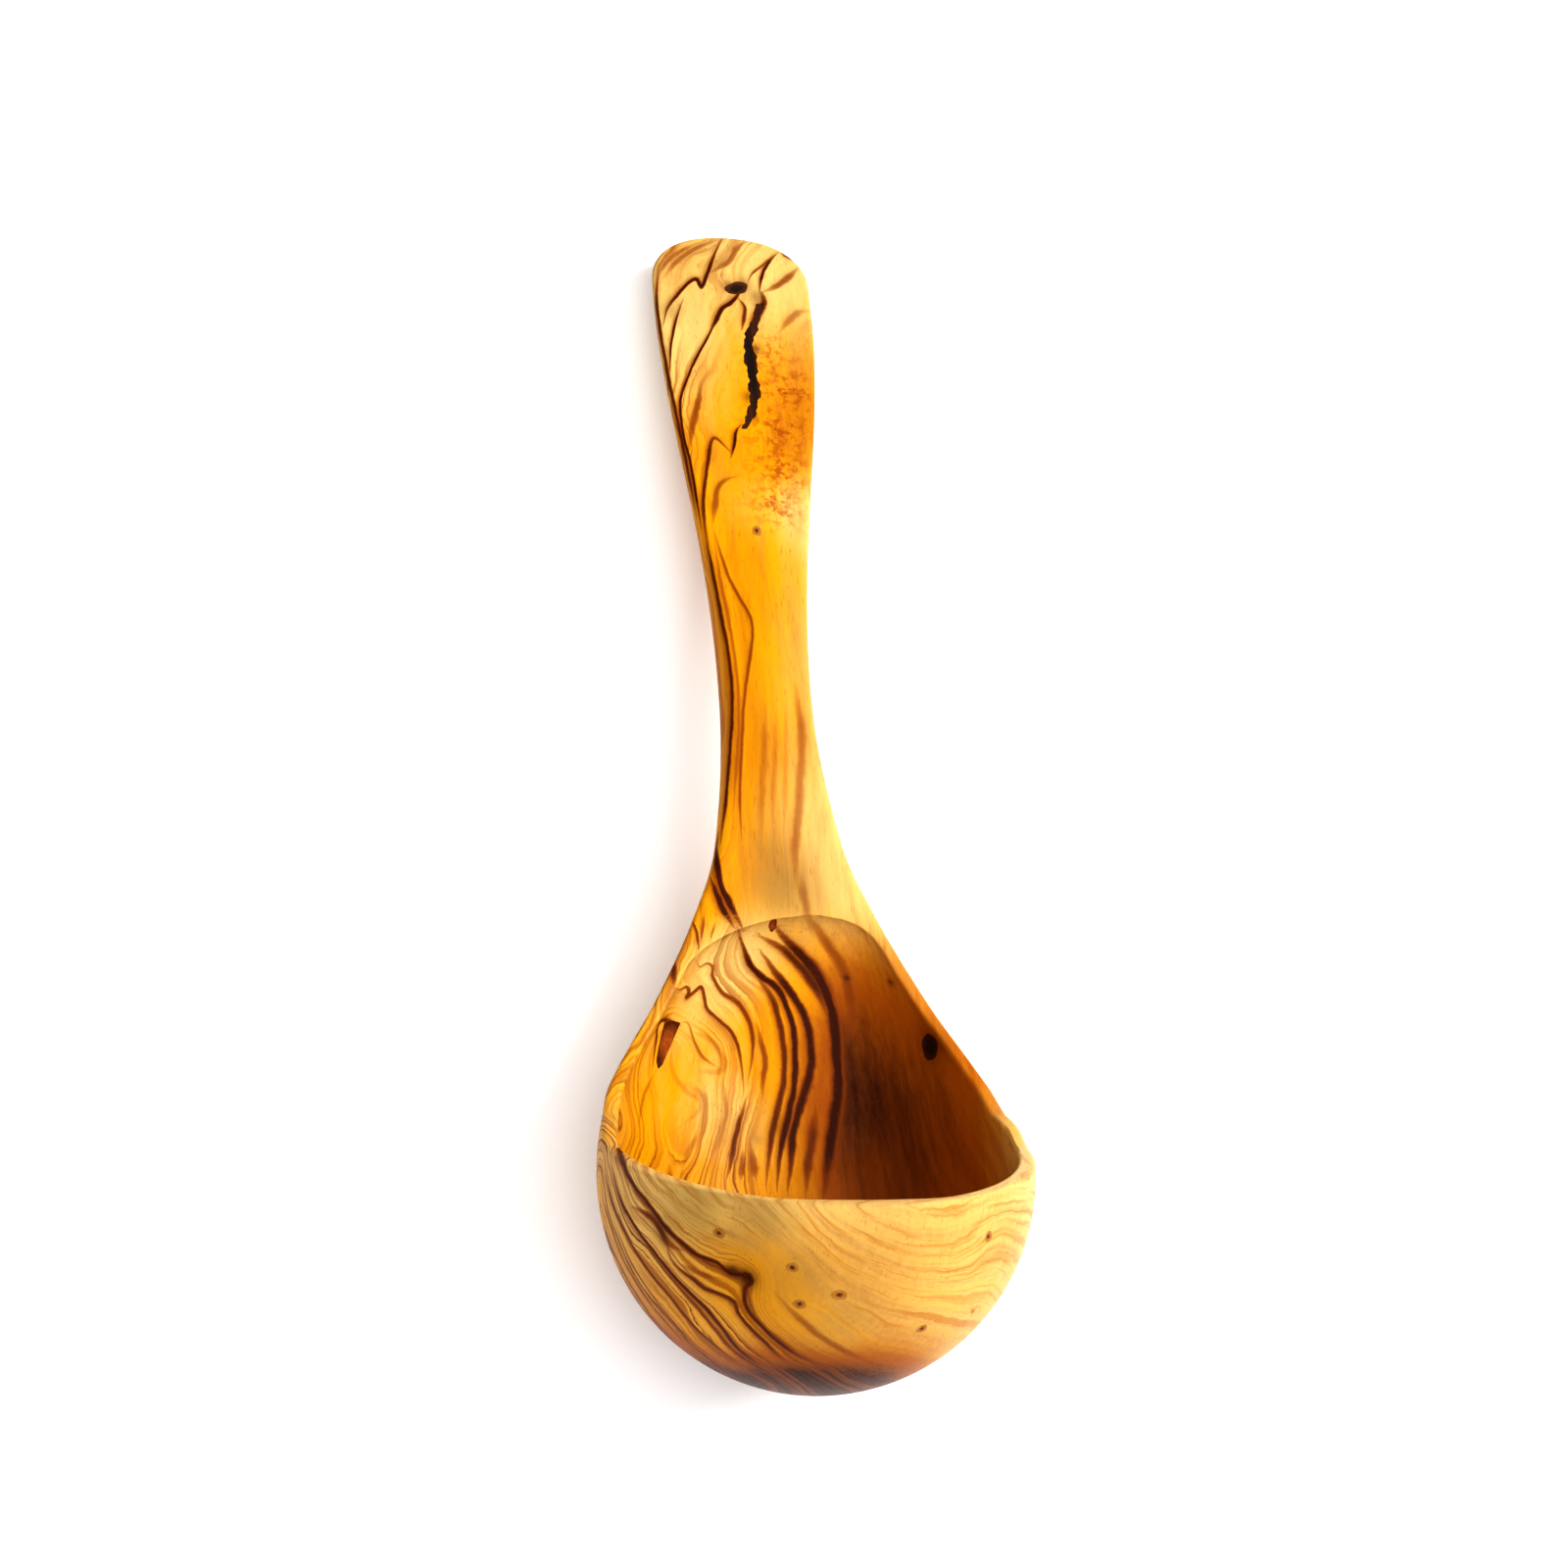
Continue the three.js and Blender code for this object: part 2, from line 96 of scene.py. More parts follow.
def through(points: Sequence[Pair], x: float) -> float:
    """A smooth curve through the points that never swings past them.

    Args:
        points: Pairs of place and value, in rising order of place.
        x: The place to read the curve at.

    Returns:
        The curve's value there.
    """
    last = len(points) - 1
    gaps = [points[i + 1][0] - points[i][0] for i in range(last)]
    rises = [(points[i + 1][1] - points[i][1]) / gaps[i] for i in range(last)]

    def slope(i: int) -> float:
        """Slope of the curve at one of its points.

        Args:
            i: Number of the point.

        Returns:
            The slope there.
        """
        if i in (0, last):
            return rises[0] if i == 0 else rises[-1]
        if rises[i - 1] * rises[i] <= 0:
            return 0.0
        before = 2 * gaps[i] + gaps[i - 1]
        after = gaps[i] + 2 * gaps[i - 1]
        return (before + after) / (before / rises[i - 1] + after / rises[i])

    i = 0
    while i < last - 1 and x > points[i + 1][0]:
        i += 1
    t = (x - points[i][0]) / gaps[i]
    here = (1 + 2 * t) * (1 - t) ** 2 * points[i][1] + t * (1 - t) ** 2 * gaps[i] * slope(i)
    following = t * t * (3 - 2 * t) * points[i + 1][1] - t * t * (1 - t) * gaps[i] * slope(i + 1)
    return here + following


def arc_points(half: float, depth: float, shares: np.ndarray) -> np.ndarray:
    """Points of the circular arc through (-half, 0), (0, depth) and (half, 0).

    Args:
        half: Half of the arc's width.
        depth: Depth of its middle.
        shares: Places on it, from -1 to 1.

    Returns:
        One row of side-ways place and depth for each share.
    """
    if abs(depth) < FLAT_ARC:
        return np.stack([half * shares, 0 * shares], 1)
    radius = (half * half + depth * depth) / (2 * abs(depth))
    reach = math.atan2(half, radius - abs(depth)) * shares
    level = abs(depth) - radius + radius * np.cos(reach)
    return np.stack([radius * np.sin(reach), math.copysign(1, depth) * level], 1)


def arc_depth(half: float, depth: float, across: np.ndarray) -> np.ndarray:
    """Depth of the circular arc through (-half, 0), (0, depth) and (half, 0).

    Args:
        half: Half of the arc's width.
        depth: Depth of its middle.
        across: Places across it.

    Returns:
        The depth at each place.
    """
    if abs(depth) < FLAT_ARC:
        return 0 * across
    radius = (half * half + depth * depth) / (2 * abs(depth))
    drop = np.sqrt(np.maximum(radius * radius - across * across, 0)) - radius
    return math.copysign(1, depth) * (abs(depth) + drop)


def rounding(start: np.ndarray, corner: np.ndarray, end: np.ndarray, count: int) -> np.ndarray:
    """Points that round off the corner between two points.

    Args:
        start: Where the rounding leaves the first side.
        corner: The sharp corner.
        end: Where it meets the second side.
        count: How many points to give.

    Returns:
        The points, one row each.
    """
    t = ((np.arange(count) + 0.5) / count)[:, None]
    return (1 - t) ** 2 * start + 2 * t * (1 - t) * corner + t * t * end


class Bench:
    """The work bench: picks pieces up, opens them in edit mode and applies modifiers."""

    @staticmethod
    def clear() -> None:
        """Puts everything down."""
        if bpy.context.object is not None and bpy.context.object.mode != "OBJECT":
            bpy.ops.object.mode_set(mode="OBJECT")
        bpy.ops.object.select_all(action="DESELECT")

    @classmethod
    def take(cls, *pieces: bpy.types.Object) -> None:
        """Selects only these pieces and makes the first one active.

        Args:
            *pieces: The pieces.
        """
        cls.clear()
        for piece in pieces:
            piece.select_set(True)
        bpy.context.view_layer.objects.active = pieces[0]

    @classmethod
    def open(cls, piece: bpy.types.Object, mode: str = "FACE") -> None:
        """Opens a piece in edit mode with nothing selected.

        Args:
            piece: The piece.
            mode: What will be selected in it: VERT, EDGE or FACE.
        """
        cls.take(piece)
        bpy.ops.object.mode_set(mode="EDIT")
        bpy.ops.mesh.select_mode(type=mode)
        bpy.ops.mesh.select_all(action="DESELECT")

    @classmethod
    def apply(cls, piece: bpy.types.Object, kind: str, **settings: object) -> None:
        """Adds a modifier with these settings and applies it.

        Args:
            piece: The piece.
            kind: The modifier's type.
            **settings: Its properties.
        """
        cls.take(piece)
        modifier = piece.modifiers.new(kind.lower(), kind)
        for name, value in settings.items():
            setattr(modifier, name, value)
        bpy.ops.object.modifier_apply(modifier=modifier.name)

    @staticmethod
    def points(piece: bpy.types.Object, field: str = "co") -> np.ndarray:
        """Places of a piece's vertices in metres, or another field of theirs.

        Args:
            piece: The piece.
            field: The vertices' field to read.

        Returns:
            A row of three numbers for each vertex.
        """
        flat = np.zeros(len(piece.data.vertices) * 3)
        piece.data.vertices.foreach_get(field, flat)
        return flat.reshape(-1, 3)

    @staticmethod
    def set_points(piece: bpy.types.Object, points: np.ndarray) -> None:
        """Moves a piece's vertices to these places."""
        piece.data.vertices.foreach_set("co", points.astype(np.float32).ravel())
        piece.data.update()

    @staticmethod
    def paint(piece: bpy.types.Object, name: str, values: np.ndarray) -> None:
        """Writes one, three or four numbers for each vertex as a named attribute.

        Args:
            piece: The piece.
            name: Name of the attribute.
            values: A number or a row for each vertex.
        """
        kinds = {
            1: ("FLOAT", "value"),
            3: ("FLOAT_VECTOR", "vector"),
            4: ("FLOAT_COLOR", "color"),
        }
        kind, field = kinds[values.shape[1] if values.ndim == 2 else 1]
        layer = piece.data.attributes.new(name, kind, "POINT")
        layer.data.foreach_set(field, values.astype(np.float32).ravel())

    @staticmethod
    def hand_over(piece: bpy.types.Object, node: str, slot: str) -> None:
        """Lets a finished piece stand for its node of the part.

        Args:
            piece: The piece.
            node: The node that it replaces.
            slot: Its slot of material; not used.
        """
        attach(piece, BODY)
        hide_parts(node)
        LOG.info("%s stands for %s: %d faces", piece.name, node, len(piece.data.polygons))


@dataclass(frozen=True)
class Section:
    """One cross-section of the ladle, square to its spine."""

    pivot: tuple[float, float]
    along: tuple[float, float]
    half_width: float
    rim: float
    outer: float
    inner: float
    half_hollow: float
    edge: float
    shift: float = 0.0
    slant: float = 0.0
    steep: float = 0.0

    @property
    def hollow(self) -> float:
        """Depth of the hollow or face below the rim."""
        return self.inner - self.rim

    @property
    def land(self) -> float:
        """Width of the narrower land beside the hollow."""
        return self.half_width - self.half_hollow - abs(self.shift)

    def face_depth(self, across: np.ndarray) -> np.ndarray:
        """Depth of the hollow or face; towards the apex its walls stand steeper than an arc.

        Args:
            across: Places across the section.

        Returns:
            The depth at each place.
        """
        aside = across - self.shift
        bow = self.hollow * np.sqrt(np.maximum(1 - (aside / self.half_hollow) ** 2, 0))
        return mix(arc_depth(self.half_hollow, self.hollow, aside), bow, self.steep)

    def face_points(self, shares: np.ndarray) -> np.ndarray:
        """Points of the hollow or face.

        Args:
            shares: Places on it, from -1 to 1.

        Returns:
            One row of side-ways place and depth for each share.
        """
        arc = arc_points(self.half_hollow, self.hollow, shares)[:, 0]
        across = self.shift + mix(arc, self.half_hollow * np.sin(shares * math.pi / 2), self.steep)
        return np.stack([across, self.face_depth(across)], 1)


@dataclass(frozen=True)
class LadleForm:
    """The carved form: a bowl whose sections turn about a pivot and run on into the handle.

    Both lines of the shoulder are shares of the bowl's radius: way up, and half-width or thickness.
    """

    bowl_radius: float = 43.2
    bowl_drop: float = 2.2
    bowl_wall: float = 4.5
    lip_rise: float = 0.1
    rim_land: float = 3.4
    rim_land_limit: float = 0.42
    rim_softness: float = 8.0
    rim_edge: float = 1.5
    handle_angle: float = 62.0
    handle_bend: float = 6.0
    handle_length: float = 169.3
    handle_thickness: float = 14.0
    handle_edge: float = 2.6
    handle_edge_start: float = 0.6
    neck_width: float = 18.0
    tail_width: float = 37.4
    tail_thickness: float = 12.0
    tail_rounding: float = 13.0
    tail_width_power: float = 2.4
    tail_back_power: float = 2.6
    tail_edge_share: float = 0.4
    tail_slant: float = 0.8
    tail_lead: float = 6.0
    slant_run: float = 40.0
    face_crown: float = 0.9
    face_share: float = 0.55
    crown_run: float = 20.0
    arch_run: float = 13.4
    arch_shift: float = 5.6
    arch_tip: float = 1.2
    hollow_fall: float = 0.75
    hollow_power: float = 1.15
    hollow_steep: float = 0.6
    pivot_height: float = 14.0
    face_offset: float = 17.0
    shoulder: tuple[Pair, ...] = (
        (0.139, 0.936),
        (0.274, 0.87),
        (0.598, 0.678),
        (1.014, 0.47),
        (1.43, 0.316),
    )
    shoulder_back: tuple[Pair, ...] = (
        (0.274, 0.632),
        (0.598, 0.493),
        (1.014, 0.389),
        (1.43, 0.34),
    )
    apex_share: float = 1.051
    neck_share: float = 2.25
    tilt: float = 65.70164
    lift: float = 43.611643

    @property
    def apex(self) -> float:
        """Way up the handle at which the hollow closes."""
        return self.apex_share * self.bowl_radius

    @property
    def handle_end(self) -> float:
        """Way up the handle of its tip."""
        return self.apex + self.handle_length

    @property
    def tail_start(self) -> float:
        """Way up the handle at which the tip starts to round."""
        return self.handle_end - self.tail_rounding

    @property
    def first_angle(self) -> float:
        """Angle of the front lip about the pivot."""
        return math.atan2(self.pivot_height, self.bowl_radius)

    @property
    def last_angle(self) -> float:
        """Angle about the pivot at which the sections stop turning."""
        return math.pi / 2 + math.radians(self.handle_angle)

    @property
    def mouth_drop(self) -> float:
        """Height of the pivot above the lip."""
        return self.pivot_height - self.lip_rise * self.bowl_radius

    @property
    def bowl_below(self) -> float:
        """Depth of the bowl's centre below the pivot."""
        return self.pivot_height + self.bowl_drop

    def sphere_reach(self, angle: float, radius: float) -> float:
        """Reach of a ray from the pivot to a sphere about the bowl's centre."""
        across = self.bowl_below * math.cos(angle)
        return self.bowl_below * math.sin(angle) + math.sqrt(radius**2 - across**2)

    def soft_corner(self, a: float, b: float) -> float:
        """The nearer of two reaches, with the corner between them rounded off."""
        near, far = min(a, b), max(a, b)
        return near - self.rim_softness * math.log(1 + math.exp((near - far) / self.rim_softness))

    def bowl_section(self, angle: float) -> Section:
        """Section of the bowl at an angle about the pivot.

        Args:
            angle: The angle from the front, in radians.

        Returns:
            The section, whose rim bends softly from the mouth into the handle's face.
        """
        mouth = self.mouth_drop / (math.sin(angle) - self.lip_rise * math.cos(angle))
        turn = math.cos(self.last_angle - angle)
        face = self.face_offset / turn if turn > 0.05 else 20 * self.face_offset
        rim = self.soft_corner(mouth, face)
        along = (-math.cos(angle), -math.sin(angle))
        y = rim * along[0]
        z = min(self.bowl_below + rim * along[1], 0.0)
        half = math.sqrt(max(self.bowl_radius**2 - y * y - z * z, 0.01))
        return Section(
            pivot=(0.0, self.pivot_height),
            along=along,
            half_width=half,
            rim=rim,
            outer=self.sphere_reach(angle, self.bowl_radius),
            inner=max(self.sphere_reach(angle, self.bowl_radius - self.bowl_wall), rim),
            half_hollow=half - min(self.rim_land, self.rim_land_limit * half),
            edge=self.rim_edge,
        )

    def heading(self, way: float) -> float:
        """Direction of the handle at a way up from the pivot, in radians."""
        lean = self.handle_bend * smoothstep((way - self.apex) / self.handle_length)
        return math.radians(self.handle_angle - lean)

    def handle_pivot(self, way: float) -> tuple[float, float]:
        """Middle line of the handle's pivot at a way up from the bowl.

        Args:
            way: The way up the handle.

        Returns:
            Its place along the table and its height.
        """
        steps = 24
        headings = [self.heading(way * (i + 0.5) / steps) for i in range(steps)]
        y = sum(math.cos(h) for h in headings) * way / steps
        z = sum(math.sin(h) for h in headings) * way / steps
        return (y, self.pivot_height + z)

    def handle_section(self, way: float) -> Section:
        """Section of the handle, which below the apex still holds the bowl's hollow.

        Args:
            way: The way up the handle from the pivot.

        Returns:
            The section there.
        """
        start = self.bowl_section(self.last_angle)
        radius = self.bowl_radius
        neck = self.neck_share * radius
        heading = self.heading(way)
        turn = min(max((way - self.tail_start) / self.tail_rounding, 0.0), 1.0)
        tip_width = max(1 - turn**self.tail_width_power, 1e-3) ** (1 / self.tail_width_power)
        fullness = max(1 - turn**self.tail_back_power, 0.0) ** (1 / self.tail_back_power)
        tip_thickness = mix(self.tail_edge_share, 1.0, fullness)
        widths = [
            (0.0, start.half_width),
            *[(a * radius, b * radius) for a, b in self.shoulder],
            (neck, self.neck_width / 2),
            (self.tail_start - self.tail_lead, self.tail_width / 2),
            (self.handle_end, self.tail_width / 2),
        ]
        backs = [
            (0.0, start.outer - self.face_offset),
            *[(a * radius, b * radius) for a, b in self.shoulder_back],
            (neck, self.handle_thickness),
            (self.handle_end, self.tail_thickness),
        ]
        half = through(widths, way) * tip_width
        lean = math.radians(self.handle_angle)
        climb = way * (math.sin(lean) - self.lip_rise * math.cos(lean))
        mouth = (self.mouth_drop + climb) / (math.cos(lean) + self.lip_rise * math.sin(lean))
        rim = self.soft_corner(mouth, self.face_offset)
        risen = min(way / self.apex, 1.0)
        deepest = start.inner - self.face_offset
        hollow = deepest * (1 - risen**self.hollow_power) ** self.hollow_fall
        closing = min(max((way - self.apex) / self.arch_run + 1, 0.0), 1.0)
        arch = max((half - self.rim_land) * math.sqrt(1 - closing**3), self.arch_tip)
        on_handle = smoothstep((way - self.apex) / self.crown_run)
        crown = self.face_crown * on_handle * tip_width
        firm = smoothstep(way / self.apex - self.handle_edge_start)
        inside = self.face_offset - crown
        if way < self.apex:
            inside = max(self.face_offset + hollow, rim)
        return Section(
            pivot=self.handle_pivot(way),
            along=(math.sin(heading), -math.cos(heading)),
            half_width=half,
            rim=rim,
            outer=self.face_offset + through(backs, way) * tip_thickness,
            inner=inside,
            half_hollow=mix(arch, self.face_share * half, on_handle),
            shift=self.arch_shift * closing**2 * (1 - on_handle),
            edge=mix(self.rim_edge, self.handle_edge, firm) * tip_width,
            slant=self.tail_slant * smoothstep((way - self.handle_end) / self.slant_run + 1),
            steep=smoothstep(risen / self.hollow_steep) if way < self.apex else 0.0,
        )

    def place(self, section: Section, points: np.ndarray) -> np.ndarray:
        """Points of a section in the carving's own frame.

        Args:
            section: The section they lie in.
            points: Rows of side-ways place and depth below the rim.

        Returns:
            Rows of x, y and z.
        """
        reach = section.rim + points[:, 1]
        slant = -0.5 * section.slant * points[:, 0] / (self.tail_width / 2)
        y = section.pivot[0] + reach * section.along[0] - slant * section.along[1]
        z = section.pivot[1] + reach * section.along[1] + slant * section.along[0]
        return np.stack([points[:, 0], y, z], 1)

    def lay_down(self) -> Matrix:
        """Turns the carving back until bowl and tail rest on the table, and into metres.

        Returns:
            The matrix from the carving's own frame to the part's.
        """
        turn = Matrix.Rotation(-math.radians(self.tilt), 4, "X")
        slide = Vector((0, self.bowl_drop * math.sin(math.radians(self.tilt)), self.lift))
        return Matrix.Scale(MM, 4) @ Matrix.Translation(slide) @ turn


class Socket:
    """An output of a shader node, on which sums are written as Python expressions."""

    def __init__(self, shader: "Shader", link: bpy.types.NodeSocket) -> None:
        """Wraps a node's output."""
        self.shader = shader
        self.link = link

    def math(self, operation: str, *values: "Value") -> "Socket":
        """Adds a Math node on these values."""
        inputs = dict(enumerate(values))
        return self.shader.node("ShaderNodeMath", {"operation": operation}, inputs)

    def __add__(self, other: "Value") -> "Socket":
        """Sum."""
        return self.math("ADD", self, other)

    def __radd__(self, other: "Value") -> "Socket":
        """Sum."""
        return self.math("ADD", other, self)

    def __sub__(self, other: "Value") -> "Socket":
        """Difference."""
        return self.math("SUBTRACT", self, other)

    def __rsub__(self, other: "Value") -> "Socket":
        """Difference from a number."""
        return self.math("SUBTRACT", other, self)

    def __mul__(self, other: "Value") -> "Socket":
        """Product."""
        return self.math("MULTIPLY", self, other)

    def __rmul__(self, other: "Value") -> "Socket":
        """Product."""
        return self.math("MULTIPLY", other, self)

    def __pow__(self, other: "Value") -> "Socket":
        """Power."""
        return self.math("POWER", self, other)

    def floor(self) -> "Socket":
        """Whole part."""
        return self.math("FLOOR", self)

    def __abs__(self) -> "Socket":
        """Size without sign."""
        return self.math("ABSOLUTE", self)

    def most(self, other: "Value") -> "Socket":
        """The larger of two."""
        return self.math("MAXIMUM", self, other)

    def sine(self) -> "Socket":
        """Sine."""
        return self.math("SINE", self)

    def ease(self, low: float, high: float) -> "Socket":
        """Eases from 0 at low to 1 at high, which may be the smaller of the two.

        Args:
            low: The value that gives 0.
            high: The value that gives 1.

        Returns:
            The eased value.
        """
        settings = {"interpolation_type": "SMOOTHSTEP", "clamp": True}
        rising = low < high
        ends = {"Value": self, "From Min": min(low, high), "From Max": max(low, high)}
        goal = {"To Min": 0.0 if rising else 1.0, "To Max": 1.0 if rising else 0.0}
        return self.shader.node("ShaderNodeMapRange", settings, {**ends, **goal})


Value = Union[Socket, float]
Tint = Union[Socket, Colour]
Inputs = dict[Union[int, str], object]


class Shader:
    """A material's node tree with one surface shader."""

    def __init__(self, name: str) -> None:
        """Starts an empty material.

        Args:
            name: Name of the material.
        """
        self.material = bpy.data.materials.new(name)
        self.material.use_nodes = True
        self.tree = self.material.node_tree
        self.tree.nodes.clear()

    def add(self, kind: str, settings: dict[str, object], inputs: Inputs) -> bpy.types.Node:
        """Adds a node.

        Args:
            kind: The node's type.
            settings: Its own properties, which are set first.
            inputs: Values or sockets by the name, identifier or number of the node's input.

        Returns:
            The node.
        """
        made = self.tree.nodes.new(kind)
        for name, value in settings.items():
            setattr(made, name, value)
        for name, value in inputs.items():
            goal = self._pick(made.inputs, name)
            if isinstance(value, Socket):
                self.tree.links.new(value.link, goal)
            else:
                goal.default_value = value
        return made

    def node(
        self, kind: str, settings: dict[str, object], inputs: Inputs, output: Union[int, str] = 0
    ) -> Socket:
        """Adds a node for the sake of one output.

        Args:
            kind: The node's type.
            settings: Its own properties.
            inputs: Values or sockets of its inputs.
            output: Name, identifier or number of the output.

        Returns:
            The output, ready for sums.
        """
        return Socket(self, self._pick(self.add(kind, settings, inputs).outputs, output))

    @staticmethod
    def _pick(
        sockets: bpy.types.bpy_prop_collection, name: Union[int, str]
    ) -> bpy.types.NodeSocket:
        """Finds a socket by number, identifier or name.

        Args:
            sockets: A node's inputs or outputs.
            name: The socket's number, identifier or name.

        Returns:
            The socket.
        """
        if isinstance(name, int):
            return sockets[name]
        return next((s for s in sockets if s.identifier == name), None) or sockets[name]

    def place(self) -> Socket:
        """Place on the piece, in metres."""
        return self.node("ShaderNodeTexCoord", {}, {}, "Object")

    def number(self, name: str) -> Socket:
        """A number painted on the piece."""
        return self.node("ShaderNodeAttribute", {"attribute_name": name}, {}, "Fac")

    def triple(self, name: str) -> list[Socket]:
        """Three numbers painted on the piece."""
        vector = self.node("ShaderNodeAttribute", {"attribute_name": name}, {}, "Vector")
        return self.split(vector)

    def quad(self, name: str) -> list[Socket]:
        """Four numbers painted on the piece."""
        alpha = self.node("ShaderNodeAttribute", {"attribute_name": name}, {}, "Alpha")
        return [*self.triple(name), alpha]

    def chance(self, value: Socket) -> Socket:
        """A fixed chance of 0 to 1 for each value."""
        settings = {"noise_dimensions": "1D"}
        return self.node("ShaderNodeTexWhiteNoise", settings, {"W": value}, "Value")

    def split(self, vector: Socket) -> list[Socket]:
        """The three parts of a vector."""
        parts = self.add("ShaderNodeSeparateXYZ", {}, {"Vector": vector})
        return [Socket(self, part) for part in parts.outputs]

    def join(self, x: Value, y: Value, z: Value) -> Socket:
        """A vector of three values."""
        return self.node("ShaderNodeCombineXYZ", {}, {0: x, 1: y, 2: z})

    def stretch(self, vector: Socket, scale: tuple[float, float, float]) -> Socket:
        """A vector scaled along each axis."""
        return self.node("ShaderNodeVectorMath", {"operation": "MULTIPLY"}, {0: vector, 1: scale})

    def noise(
        self, vector: Socket, scale: float, detail: float = 2.0, roughness: float = 0.5
    ) -> Socket:
        """Soft noise of about 0 to 1."""
        inputs = {"Vector": vector, "Scale": scale, "Detail": detail, "Roughness": roughness}
        return self.node("ShaderNodeTexNoise", {}, inputs)

    def blend(self, share: Value, first: Tint, second: Tint) -> Socket:
        """A mix of two colours."""
        inputs = {"Factor_Float": share, "A_Color": first, "B_Color": second}
        return self.node("ShaderNodeMix", {"data_type": "RGBA"}, inputs, "Result_Color")

    def bump(self, height: Socket, strength: float, distance: float) -> Socket:
        """A surface normal that follows a height in metres."""
        inputs = {"Height": height, "Strength": strength, "Distance": distance}
        return self.node("ShaderNodeBump", {}, inputs)

    def surface(self, **inputs: object) -> bpy.types.Material:
        """Ends the material with one surface shader.

        Args:
            **inputs: Values or sockets, with underscores for the spaces of the socket's name.

        Returns:
            The finished material.
        """
        named = {name.replace("_", " "): value for name, value in inputs.items()}
        shader = self.node("ShaderNodeBsdfPrincipled", {}, named, "BSDF")
        self.add("ShaderNodeOutputMaterial", {}, {"Surface": shader})
        return self.material


class FiguredWood:
    """Sockets that the wood's material reads: the painted figure and the noises that fray it."""

    def __init__(self, shader: Shader) -> None:
        """Adds the nodes that read the figure.

        Args:
            shader: The material's nodes.
        """
        self.shader = shader
        self.place = shader.place()
        self.layer, self.pale, self.brown = shader.triple("figure")
        self.dark, self.grey, self.red, self.calm = shader.quad("stain")
        self.lively = 1.0 - self.calm
        x, self.length, z = shader.split(self.place)
        self.girth = x + z
        drift = shader.noise(self.place, 55.0, 3.0) - 0.5
        self.fray = shader.noise(self.place, 260.0, 4.0, 0.6) - 0.5
        self.grain = self.fibre((900.0, 55.0, 900.0), 3.0, 0.6)
        self.lie = self.along(self.layer * 0.55 + drift * 2.0, 16.0, 9.0)
        coarse = self.fibre((240.0, 13.0, 240.0), 5.0, 0.62)
        thread = self.fibre((620.0, 16.0, 620.0), 4.0, 0.6)
        streak = shader.noise(self.lie, 1.0, 5.0, 0.62) - 0.5
        self.streak = streak * self.lively + (coarse + thread * 0.6) * self.calm
        self.wander = self.layer + drift * 4.5 + self.fray * 0.9 + self.grain * 0.5

    def fibre(
        self, stretch: tuple[float, float, float], detail: float, roughness: float
    ) -> Socket:
        """Noise about zero that is drawn out along the handle."""
        drawn = self.shader.stretch(self.place, stretch)
        return self.shader.noise(drawn, 1.0, detail, roughness) - 0.5

    def along(self, level: Socket, length: float, girth: float) -> Socket:
        """Place for a noise that lies along the growth layers, with its scales on the surface."""
        return self.shader.join(level, self.length * length, self.girth * girth)


